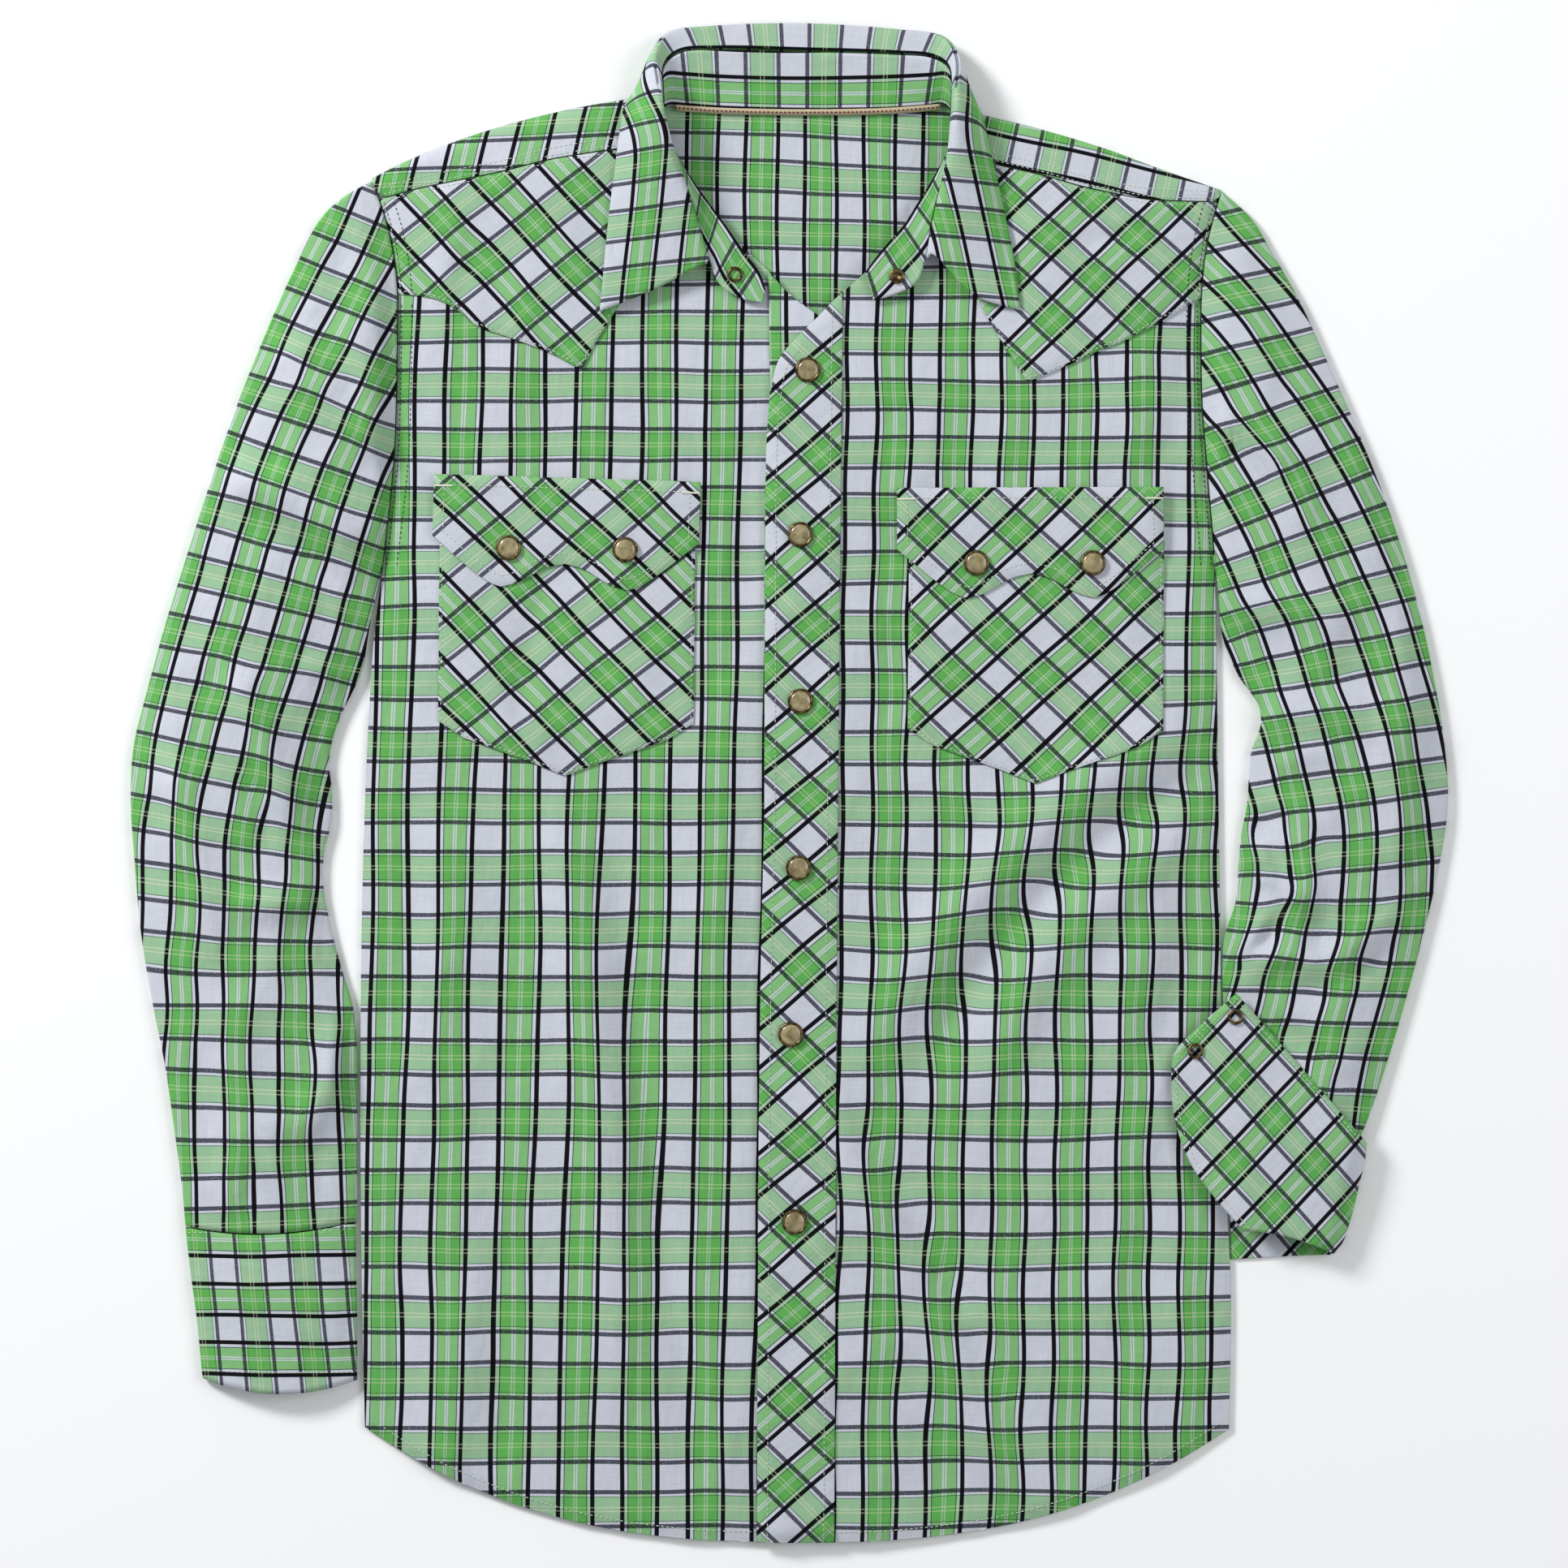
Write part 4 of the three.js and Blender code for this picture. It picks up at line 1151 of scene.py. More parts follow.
RIGHT_SLEEVE = (
    Section((227.3, 120), (231, 315), 9),
    Section((229, 100), (246, 301), 11),
    Section((230.5, 79), (257, 282), 12),
    Section((238, 59), (270, 258), 13),
    Section((249, 42), (285, 225), 13.5),
    Section((249.5, 31), (303, 184), 13.5),
    Section((245, 19), (319.5, 141), 13.5),
    Section((243.5, 5), (332.5, 98), 13.5),
    Section((242.5, -10), (341, 60), 13.5),
    Section((239.5, -25), (347, 23), 13.5),
    Section((238, -43), (349, -9), 13),
    Section((236.5, -61), (344.5, -41), 13),
    Section((230.5, -80), (337, -74), 12.5),
    Section((229.5, -103), (328, -108), 12),
    Section((231, -130), (318, -142), 11.5),
    Section((232.5, -158), (308, -172), 11, 0, 0.6),
    Section((236, -188), (297.5, -198), 10.5, 0, 2.1),
    Section((238, -214), (290, -222), 10, 0, 2.1),
)
LEFT_CUFF = (
    Section((-319.5, -233.3), (-229, -230.3), 10.2, 5),
    Section((-317, -256), (-229, -254), 10.2, 5),
    Section((-313.5, -282), (-228.5, -280), 10.2, 5.5),
    Section((-310.5, -313), (-228.5, -314), 10.2, 7.5),
)
LEFT_FOLDS = (
    Fold((-304, 166), (-220, 128), 3, 10, 3.4),
    Fold((-270, 240), (-216, 178), -3, 10, 3),
    Fold((-300, 70), (-262, -20), 4, 10, 3),
    Fold((-330, 20), (-306, -90), 5, 11, 2.6),
    Fold((-296, -62), (-238, -56), -3, 9, 3.2),
    Fold((-232, -118), (-258, -186), 3, 9, 3.4),
    Fold((-290, -110), (-286, -215), -3, 11, 2),
    Fold((-289, 141), (-220, 92), 4, 7, -1.8),
    Fold((-310, 51), (-276, 73), 3, 8, -1.4),
    Fold((-289, 12), (-275, -35), 4, 7, -1.8),
    Fold((-246, 38), (-248, -35), 3, 6, -1.8),
    Fold((-272, -48), (-274, -104), 2, 9, 1.6),
    Fold((-276, -155), (-275, -207), 2, 9, 1.5),
    Fold((-258, 64), (-229, 47), 3, 6, 1.6),
    Fold((-246, -78), (-227, -121), 3, 6, -1.8),
    Fold((-255, -129), (-233, -181), 4, 7, 1.6),
    Fold((-315, -142), (-305, -203), 3, 8, -1.4),
    Fold((-328, 8), (-321, -48), 3, 9, 1.4),
    Fold((-276, 202), (-233, 215), 2, 8, 1.4),
    Fold((-237, 288), (-246, 232), 3, 8, -1.4),
    Fold((-229, 245), (-224, 176), 3, 7, 1.4),
    Fold((-298, -194), (-293, -228), 0, 5, 1.2),
    Fold((-285, -198), (-283, -228), 0, 4, -1.0),
    Fold((-270, -194), (-267, -228), 0, 5, 1.2),
    Fold((-250, -185), (-247, -228), 0, 5, -1.2),
    Fold((-308, 176), (-317, 116), 3, 10, 1.2),
)
RIGHT_FOLDS = (
    Fold((240, -12), (233, -98), 25, 6, -3.2),
    Fold((252, -2), (246, -104), 26, 8, 2.6),
    Fold((226, -40), (226, -104), 12, 6, 1.8),
    Fold((268, -96), (322, -64), -5, 8, 1.8),
    Fold((262, -112), (318, -84), -5, 7, -1.6),
    Fold((222, 196), (262, 166), 3, 9, 3.4),
    Fold((236, 92), (296, 84), 7, 10, 3.2),
    Fold((250, 34), (330, 36), 5, 11, 2.8),
    Fold((240, -32), (272, -56), 4, 9, 3.6),
    Fold((276, -52), (236, -98), -5, 9, 3.6),
    Fold((322, 110), (316, -60), 6, 13, 2.4),
    Fold((300, -70), (284, -170), 3, 11, 2.6),
    Fold((229, 182), (257, 159), 3, 6, -2.2),
    Fold((229, 90), (253, 51), 4, 6, -2.0),
    Fold((261, 184), (270, 133), 4, 10, 1.8),
    Fold((287, 64), (313, 34), 3, 7, -1.8),
    Fold((244, -13), (287, -39), 4, 6, -2.0),
    Fold((253, 8), (292, 17), 4, 7, 1.8),
    Fold((246, -48), (270, -61), 3, 5, 1.8),
    Fold((270, -69), (287, -91), 3, 6, -1.6),
    Fold((253, -121), (298, -162), 2, 6, -1.6),
    Fold((313, 30), (328, -39), 4, 10, 1.4),
    Fold((253, 275), (279, 223), 4, 10, -1.4),
    Fold((236, 236), (253, 202), 3, 8, 1.4),
    Fold((296, 176), (313, 116), 3, 10, 1.4),
    Fold((240, -91), (279, -95), 3, 6, 1.6),
    Fold((304, -78), (287, -142), 3, 8, -1.4),
    Fold((330, 8), (332, -48), 2, 9, -1.4),
)
TURNED_CUFF = (
    Section((236, -109), (306, -189)),
    Section((214, -129), (305.5, -195)),
    Section((203.5, -141), (304.5, -201)),
    Section((202, -156), (302.5, -209)),
    Section((204, -177), (300, -220)),
    Section((212, -199), (297, -231), 0, -1),
    Section((223, -215), (293.5, -241), 0, -2),
    Section((240, -234.5), (288.5, -247.5), 0, -3),
)
COLLAR = (
    CollarRow((-12.5, 263, 7.6), (-14, 254.5, 7.5)),
    CollarRow((-15.5, 271.5, 7.6), (-25, 256.5, 7.8)),
    CollarRow((-24, 283, 7.2), (-37, 264, 8.2)),
    CollarRow((-33, 296, 7), (-41.5, 274, 8.6), (-43, 276, 11.4), (-72, 262, 9.6), (-100, 251, 8.2)),
    CollarRow((-42, 308, 6.8), (-46.5, 291, 10.6), (-49, 294, 14), (-73, 284, 12), (-97.5, 277, 8.2)),
    CollarRow((-51, 320, 6.6), (-52, 309, 13.2), (-54, 311, 17.4), (-75, 305, 14.5), (-95, 301, 8.3)),
    CollarRow((-61, 336, 6.2), (-59, 330, 16.4), (-62, 331, 21), (-79, 327, 16.8), (-92, 323, 8.4)),
    CollarRow((-68, 348, 5.4), (-65, 350, 18.4), (-66, 351, 23.6), (-80, 348, 17.4), (-89, 345, 8.5)),
    CollarRow((-69, 357, 4.4), (-67.5, 366, 16.6), (-69, 370, 21.4), (-78, 367.5, 14.5), (-85.5, 361, 8.6)),
    CollarRow((-64, 361, 3.2), (-65.5, 382, 11.6), (-70.5, 387.5, 15.4), (-73.5, 384, 8), (-72, 374, 2.4)),
    CollarRow((-54, 360.5, 2.9), (-57, 389, 8.2), (-63, 398.6, 8.4), (-61.5, 390, 2.6), (-59, 371, 1)),
    CollarRow((-36, 359, 2.8), (-37, 390.5, 7), (-40, 402.6, 6), (-39, 389, 1.7), (-38, 368, 1)),
    CollarRow((9, 357.5, 2.8), (9, 389.5, 6.8), (9, 404, 5.6), (9, 389, 1.6), (9, 366, 1)),
    CollarRow((54, 358.5, 2.8), (55, 388, 7), (58, 400.6, 6), (57, 388, 1.7), (56, 367, 1)),
    CollarRow((72, 360, 2.9), (76, 386, 8.2), (81.5, 396.2, 8.4), (80, 388, 2.6), (77, 370, 1)),
    CollarRow((82, 361, 3.2), (84.5, 380, 11.6), (88.5, 385, 15.4), (90.5, 380, 8), (88.5, 369.5, 2.4)),
    CollarRow((87, 356, 4.4), (86.5, 364, 16.6), (88.5, 368, 21.4), (95.5, 365, 14.5), (100.5, 357, 8.8)),
    CollarRow((87.5, 345, 5.4), (85.5, 350, 18.4), (88, 352, 23.6), (98, 348, 17.4), (105, 339.5, 8.8)),
    CollarRow((84, 335, 6.2), (84, 334, 16.4), (87, 335, 21), (99.5, 327, 16.8), (110, 319, 8.6)),
    CollarRow((77, 322, 7.4), (80, 315, 13.6), (83, 318, 17.6), (99, 306, 14.8), (115, 297, 8.5)),
    CollarRow((68, 308, 8), (76, 297, 11.4), (79, 299, 14.6), (98.5, 283, 12.6), (119.5, 274.5, 8.5)),
    CollarRow((61, 297, 8.4), (73, 279, 9.8), (75.5, 281, 12.4), (97.5, 259.5, 10.6), (122, 251.5, 8.5)),
    CollarRow((53, 288, 8.6), (68, 265, 9.2)),
    CollarRow((46, 279.5, 8.7), (57, 259, 9)),
    CollarRow((40.5, 272, 8.7), (45, 255.5, 8.8)),
)


@dataclass(frozen=True)
class Body:
    """The warped form that all panels of the body lie on.

    Attributes:
        hem_low: Lowest point of the shirt-tail hem.
        rise: How far the hem curves up at the side seams.
        half: Half the width that the hem curve spans.
        centre: Middle of the hem curve.
        power: Power of the hem curve.
        loft: Air between front and back.
        edge: Height of the front cloth where it meets the back at a side seam.
        width: Width of the body.
        length: Length of the body.
    """

    hem_low: float = -400.0
    rise: float = 60.5
    half: float = 229.0
    centre: float = 5.0
    power: float = 2.6
    loft: float = 2.3
    edge: float = 1.9
    width: float = 450.0
    length: float = 740.0

    def hem(self, x: np.ndarray | float) -> np.ndarray:
        """Height of the hem at x."""
        return self.hem_low + self.rise * (np.abs(np.asarray(x) - self.centre) / self.half) ** self.power

    def shoulder(self, x: np.ndarray | float) -> np.ndarray:
        """Height of the shoulder fold at x."""
        return along([row[0] for row in SHOULDER], [row[1] for row in SHOULDER], x)

    def side(self, direction: Direction, y: np.ndarray | float) -> np.ndarray:
        """Where a side seam or armhole is.

        Args:
            direction: Which side.
            y: The heights at which to read it.

        Returns:
            Its x there.
        """
        x = np.full_like(np.asarray(y, float), -214.0 if direction is Direction.LEFT else 214.0)
        column = [getattr(row, direction.value) for row in SIDES]
        for _ in range(3):
            x = along([row.at for row in SIDES], column, (y - self.hem(x)) / (self.shoulder(x) - self.hem(x)))
        return x

    def side_run(self, direction: Direction, low: float, high: float) -> list[Point]:
        """Points of a side from one height to another."""
        ys = np.linspace(low, high, max(2, int(abs(high - low) / 4)))
        return list(zip(self.side(direction, ys).tolist(), ys.tolist()))

    def corner(self, direction: Direction) -> float:
        """Height of the hem's corner at a side."""
        return float(self.hem(getattr(SIDES[0], direction.value)))

    def hem_run(self, low: float, high: float) -> list[Point]:
        """Points of the hem from one x to another."""
        xs = np.linspace(low, high, max(2, int(abs(high - low) / 4)))
        return list(zip(xs.tolist(), self.hem(xs).tolist()))

    def shoulder_run(self, low: float, high: float) -> list[Point]:
        """Points of the shoulder fold from one x to another."""
        xs = np.linspace(low, high, max(2, int(abs(high - low) / 4)))
        return list(zip(xs.tolist(), self.shoulder(xs).tolist()))

    def distances(self, x: np.ndarray, y: np.ndarray) -> tuple[np.ndarray, np.ndarray, np.ndarray]:
        """Distances of points from the sides, the shoulders and the hem."""
        hem = self.hem(x)
        v = (y - hem) / (self.shoulder(x) - hem)
        ats = [row.at for row in SIDES]
        left = along(ats, [row.left for row in SIDES], v)
        right = along(ats, [row.right for row in SIDES], v)
        s = (x - left) / (right - left)
        return np.minimum(s, 1 - s) * self.width, (1 - v) * self.length, v * self.length

    def top(self, x: np.ndarray, y: np.ndarray, raised: bool = False) -> np.ndarray:
        """Upper side of the front cloth.

        Args:
            x: The points' x.
            y: The points' y.
            raised: Whether it rises to the stud band beside the placket.

        Returns:
            Its height.
        """
        from_side, from_top, from_hem = self.distances(x, y)
        air = ease(from_side / 42) * ease(from_top / 40) * (0.3 + 0.7 * ease(from_hem / 90))
        collar = 1 - 0.75 * ease((y - 215) / 50) * ease((128 - np.abs(x - NECK_MIDDLE)) / 30)
        still = ease(from_side / 24) * ease((from_top - 4) / 30) * collar
        folds = 1.3 * fold_height(BODY_FOLDS + BODY_WRINKLES, x, y) + 0.35 * drift(x, y, 3.0)
        folds = folds + 0.75 * crumple(x, y, 3.0) * (1 - 0.6 * ease((y - 180) / 60))
        height = CLOTH + SEAM + UNDER + self.loft * air * collar + still * folds + CLOTH
        height = np.maximum(height, 3.0 - 1.1 * (1 - ease(from_side / 7)))
        if raised:
            height = height + PLY * ease((88 - x) / 60)
        fall = (CLOTH * 2 + SEAM + UNDER - self.edge) * (1 - ease(np.minimum(from_side, from_hem) / 7))
        return height - fall


BODY = Body()


class Cloth:
    """A finished piece of cloth: its object and the surface that sewing lies on."""

    def __init__(self, name: str, layer: Layer, material: bpy.types.Material, thickness: float = SHELL) -> None:
        """Thicken a surface and make it an object that rides on the shirt.

        Args:
            name: The piece's name, to which the object's adds "cloth".
            layer: The upper or outer surface.
            material: Its material.
            thickness: Its thickness.
        """
        self.name = name
        self.layer = layer
        self.surface = BVHTree.FromPolygons(layer.points.tolist(), layer.faces)
        wall = thicken(layer, thickness)
        self.object = mesh_object(f"{name}_cloth", wall.points, wall.faces, material, wall.pattern)
        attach(self.object, "root")

    def area(self) -> float:
        """Area of the surface in square metres."""
        total = 0.0
        for face in self.layer.faces:
            p = self.layer.points[list(face)]
            total += float(np.linalg.norm(np.cross(p[2] - p[0], p[-1] - p[1] if len(p) == 4 else p[1] - p[0])))
        return total / 2 * MM * MM

    def declare(self, nodes: Sequence[str], width: float, length: float, held: str, rests_on: Sequence[str]) -> None:
        """Hide the solids that the piece stands for.

        Args:
            nodes: The solids.
            width: Width of the flat cut in millimetres; not used.
            length: Length of the flat cut in millimetres; not used.
            held: How the cloth is held; not used.
            rests_on: What it lies on; not used.
        """
        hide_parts(*nodes)

    def drop(self, path: np.ndarray, lift: float = 0.12) -> list[np.ndarray]:
        """Lay a path on the piece from above.

        Args:
            path: The path's x and y.
            lift: How far over the cloth it lies.

        Returns:
            The stretches of the path that lie on the piece.
        """
        runs, run = [], []
        for x, y in path:
            hit, normal = self.surface.ray_cast(Vector((x, y, 90.0)), Vector((0, 0, -1)))[:2]
            if hit is None or abs(normal.z) < 0.5 or hit.z < SHELL:
                runs, run = runs + [run], []
            else:
                run.append((x, y, hit.z + lift))
        return [np.array(r) for r in [*runs, run] if len(r) > 1]


def inset(path: Sequence[Point], distance: float, closed: bool = False) -> np.ndarray:
    """Move a path sideways, to its left.

    Args:
        path: The path.
        distance: How far.
        closed: Whether it is a ring.

    Returns:
        The moved path.
    """
    p = np.asarray(path, float)
    before, after = np.roll(p, 1, axis=0), np.roll(p, -1, axis=0)
    if not closed:
        before[0], after[-1] = 2 * p[0] - p[1], 2 * p[-1] - p[-2]
    into, out = p - before, after - p
    into /= np.maximum(np.linalg.norm(into, axis=1, keepdims=True), 1e-9)
    out /= np.maximum(np.linalg.norm(out, axis=1, keepdims=True), 1e-9)
    normal = np.column_stack([-(into + out)[:, 1], (into + out)[:, 0]])
    half = np.linalg.norm(normal, axis=1, keepdims=True) / 2
    return p + normal / np.maximum(half * 2, 1e-9) * distance / np.maximum(half, 0.5)


def dense(path: Sequence[Point], step: float = 2.0) -> np.ndarray:
    """Points of an open path at short steps."""
    out = []
    p = np.asarray(path, float)
    for a, b in zip(p, p[1:]):
        n = max(1, math.ceil(float(np.linalg.norm(b - a)) / step))
        out += [a + (b - a) * k / n for k in range(n)]
    return np.array([*out, p[-1]])


def spline(points: Sequence[Point], step: float = 3.0) -> list[Point]:
    """Smooth curve through points, as short stretches."""
    p = np.asarray(points, float)
    length = float(np.linalg.norm(np.diff(p, axis=0), axis=1).sum())
    flat = smooth_path([(*q, 0.0) for q in p], max(len(p), int(length / step)))
    return [(float(q[0]), float(q[1])) for q in flat]


def moved(points: Sequence[Point], dx: float, dy: float) -> list[Point]:
    """Points moved by a distance."""
    return [(x + dx, y + dy) for x, y in points]


def within_sides(points: Sequence[Point]) -> list[Point]:
    """The points of a run that lie between the sides of the body."""
    return [
        (x, y)
        for x, y in points
        if BODY.side(Direction.LEFT, y) + 1.5 < x < BODY.side(Direction.RIGHT, y) - 1.5
    ]


def placed(points: Sequence[Point], centre: Point, turn: float) -> list[Point]:
    """Points turned by an angle in radians and moved to a centre."""
    c, s = math.cos(turn), math.sin(turn)
    return [(centre[0] + a * c - b * s, centre[1] + a * s + b * c) for a, b in points]


@dataclass
class Panel:
    """A panel or patch of the body.

    Attributes:
        name: Its name, which is also that of the solid it stands for.
        outline: Its cut edge.
        cut: How it lies in the plaid.
        plies: How many plies it lies over the front cloth.
        raised: Whether it lies on the front that rises beside the placket.
        settle: How far its edge is pressed down.
        spread: How far in from its edge it is pressed down.
        pitch: Pitch of its net.
        allowance: Cloth turned under along its edges.
        rests_on: What it lies on.
    """

    name: str
    outline: Sequence[Point]
    cut: Cut
    plies: int = 0
    raised: bool = False
    settle: float = 0.85
    spread: float = 3.0
    pitch: float = 3.8
    allowance: float = 10.0
    rests_on: tuple[str, ...] = ("back_panel",)

    def height(self, x: np.ndarray, y: np.ndarray, outline: np.ndarray) -> np.ndarray:
        """Height of its upper side.

        Args:
            x: The points' x.
            y: The points' y.
            outline: Its outline, from which it rises.

        Returns:
            The height.
        """
        pressed = 1 - ease(edge_distance(x, y, outline) / self.spread)
        top = BODY.top(x, y, self.raised) + self.plies * PLY - self.settle * pressed
        for sx, sy in (*PLACKET_SNAPS, *FLAP_SNAPS[Direction.LEFT], *FLAP_SNAPS[Direction.RIGHT]):
            top = top - 0.35 * np.exp(-((x - sx) ** 2 + (y - sy) ** 2) / 70) * (self.plies > 1)
        return top

    def layer(self) -> Layer:
        """Its upper side.

        Returns:
            The surface.
        """
        outline = resample(counterclockwise(self.outline), self.pitch)
        flat, faces = fill(outline, self.pitch)
        x, y = flat[:, 0], flat[:, 1]
        z = self.height(x, y, outline)
        shift = fold_pull(BODY_FOLDS + BODY_WRINKLES, x, y, 0.45)
        return Layer(np.column_stack([x, y, z]), faces, self.cut.pattern(x + shift[0], y + shift[1]))

    def build(self, material: bpy.types.Material) -> Cloth:
        """Make the piece.

        Args:
            material: Its cloth.

        Returns:
            The finished piece.
        """
        cloth = Cloth(self.name, self.layer(), material)
        low, high = np.min(self.outline, axis=0), np.max(self.outline, axis=0)
        width, length = high - low + 2 * self.allowance
        cloth.declare([self.name], float(width), float(length), "laid", self.rests_on)
        return cloth


@dataclass
class Fronts:
    """The two fronts, the stud band and the placket.

    Attributes:
        lap: Where the left front ends, under the right one.
        left_cut: How the left front lies in the plaid.
        right_cut: How the right front does.
        band_cut: How the stud band does.
        placket_cut: How the placket does.
        placket_left: The placket's left edge, from the neck down.
    """

    lap: float = 22.0
    left_cut: Cut = Cut((-205.0, -236.5), warp=34.4, wander=0.7, lean=0.0175, closing=3.9e-6)
    right_cut: Cut = Cut((58.5, -236.5), warp=33.1, wander=0.9, seed=1.3, lean=0.012, closing=5.0e-6)
    band_cut: Cut = Cut((-1.0, -236.5), warp=34.4, wander=0.6)
    placket_cut: Cut = Cut((22.3, -51.7), turn=-49.2, warp=33.4, weft=33.6, wander=0.7, seed=4.0, skew=5.0)
    placket_left: tuple[Point, ...] = ((0, 233), (-6, 224), (-9, 212), (-11.5, 189), (-12.5, 150))

    def panels(self) -> list[Panel]:
        """The four panels, lowest first.

        Returns:
            The panels.
        """
        low = float(BODY.hem(self.lap))
        left = [
            *BODY.hem_run(SIDES[0].left, self.lap - 3),
            (self.lap - 3, 247.5),
            (15, 249.5),
            *spline(NECK_LEFT)[::-1],
            *within_sides(spline(YOKE_SEAM_LEFT)[::-1]),
            *BODY.side_run(Direction.LEFT, 310, BODY.corner(Direction.LEFT))[:-1],
        ]
        right = [
            (self.lap, 254),
            (self.lap, low),
            *BODY.hem_run(self.lap + 4, SIDES[0].right),
            *BODY.side_run(Direction.RIGHT, BODY.corner(Direction.RIGHT), 309.2)[1:],
            *within_sides(spline(YOKE_SEAM_RIGHT)[::-1]),
            *spline(NECK_RIGHT)[::-1],
        ]
        band = [
            (-13, float(BODY.hem(-13))),
            *BODY.hem_run(-9, self.lap - 3),
            *((self.lap - 3, 247.5), (15, 249.5), (5.5, 256), (-3, 263.5), (-11, 272.5)),
            *((-10.5, 252), (-10, 212), (-13, 150)),
        ]
        placket = [
            *spline(((28, 262), (16, 249), *self.placket_left)),
            *((-13, -13), (-15, -99), (-16, -185), (-17, float(BODY.hem(-17)))),
            *BODY.hem_run(-13, 24),
            *((25, -142), (26, -13), (27.5, 159), (28.5, 251)),
        ]
        return [
            Panel("front_left", left, self.left_cut, settle=0),
            Panel("front_right", right, self.right_cut, raised=True, settle=0),
            Panel("stud_band", band, self.band_cut, 1, settle=0.6, rests_on=("front_left",)),
            Panel("placket", placket, self.placket_cut, 2, rests_on=("stud_band", "front_right")),
        ]


@dataclass
class FrontYokes:
    """The pointed bias yokes of the two fronts.

    Attributes:
        left_cut: How the left yoke lies in the plaid.
        right_cut: How the right yoke does.
        left_foot: The left yoke's lower edge, from its point out.
        right_foot: The right yoke's lower edge, from its point out.
    """

    left_cut: Cut = Cut((-133.9, 308.1), turn=43.0, warp=32.4, weft=32.4, seed=6.0, skew=-4.0)
    right_cut: Cut = Cut((174.0, 268.8), turn=-45.8, warp=31.6, weft=31.6, seed=7.0, skew=4.0)
    left_foot: tuple[Point, ...] = (
        (-113, 222), (-126, 229), (-150, 238), (-164, 243), (-177, 253), (-190, 258.5), (-230, 262),
    )
    right_foot: tuple[Point, ...] = (
        (129, 215), (140, 219.5), (152, 224.5), (165, 231), (178, 236), (202, 249), (212, 255), (240, 270),
    )

    def panels(self) -> list[Panel]:
        """The two yokes.

        Returns:
            The panels.
        """
        left = [
            *within_sides(spline(moved(YOKE_SEAM_LEFT[:-1], 0, -SEAM))),
            (-84, 337.5),
            *spline(((-83, 318), (-82, 300), (-80, 275))),
            *spline(((-85, 262), (-92, 251), (-102, 235), (-109, 221))),
            *within_sides(spline(self.left_foot)),
            *BODY.side_run(Direction.LEFT, 261.5, 309.5),
        ]
        right = [
            *within_sides(spline(moved(YOKE_SEAM_RIGHT[::-1][:-1], 0, -SEAM))),
            (100, 331),
            *spline(((99, 318), (98.5, 300), (97, 275))),
            *spline(((98, 263), (105, 248), (114, 233), (125, 215))),
            *within_sides(spline(self.right_foot)),
            *BODY.side_run(Direction.RIGHT, 258.5, 308.5),
        ]
        return [
            Panel("front_yoke_left", left, self.left_cut, 1, pitch=3.2, rests_on=("front_left",)),
            Panel("front_yoke_right", right, self.right_cut, 1, True, pitch=3.2, rests_on=("front_right",)),
        ]


@dataclass
class ChestPocket:
    """A bias patch pocket with a pointed foot, under a double-pointed flap.

    Attributes:
        side: Which side of the shirt it is on.
        centre: Middle of the pocket's mouth.
        turn: Its turn in radians.
        flap_centre: Middle of the flap's top edge.
        flap_turn: The flap's turn in radians.
        cut: How the pocket lies in the plaid.
        flap_cut: How the flap does.
        half: Half the pocket's width.
        drop: Height of its straight sides.
        foot: Depth of its point.
        flap_half: Half the flap's width.
        flap_drop: Depth of the flap's sides.
        tip: Depth of its two points.
        notch: Depth of the notch between them.
        tip_at: How far each point is from its middle.
    """

    side: Direction
    centre: Point
    turn: float
    flap_centre: Point
    flap_turn: float
    cut: Cut
    flap_cut: Cut
    half: float = 67.5
    drop: float = 98.0
    foot: float = 126.5
    flap_half: float = 70.5
    flap_drop: float = 32.5
    tip: float = 58.5
    notch: float = 45.5
    tip_at: float = 33.5

    def pocket_outline(self) -> list[Point]:
        """Edge of the patch."""
        h, d, f = self.half, self.drop, self.foot
        foot = [(-h + 14, -d - 9), (-18, -f + 7), (0, -f), (18, -f + 7), (h - 14, -d - 9)]
        return placed([(-h, 14), (-h, -d), *foot, (h, -d), (h, 14)], self.centre, self.turn)

    def flap_outline(self) -> list[Point]:
        """Edge of the flap."""
        h, d, t, n, a = self.flap_half, self.flap_drop, self.tip, self.notch, self.tip_at
        left = spline(((-h, -d), (-a - 17, -t + 9.5), (-a - 6, -t + 2), (-a, -t)))
        left += spline(((-a, -t), (-a + 9, -t + 2.5), (-10, -n - 2.5), (0, -n)))[1:]
        right = [(-x, y) for x, y in left[::-1]][1:]
        return placed([(-h, 0), *left, *right, (h, 0)], self.flap_centre, self.flap_turn)

    def panels(self) -> list[Panel]:
        """The patch and its flap.

        Returns:
            The panels.
        """
        side, raised = self.side.value, self.side is Direction.RIGHT
        patch = Panel(
            f"pocket_{side}", self.pocket_outline(), self.cut, 1, raised, pitch=3.2, rests_on=(f"front_{side}",)
        )
        flap = Panel(
            f"flap_{side}", self.flap_outline(), self.flap_cut, 2, raised, pitch=3.0, rests_on=(f"pocket_{side}",)
        )
        return [patch, flap]


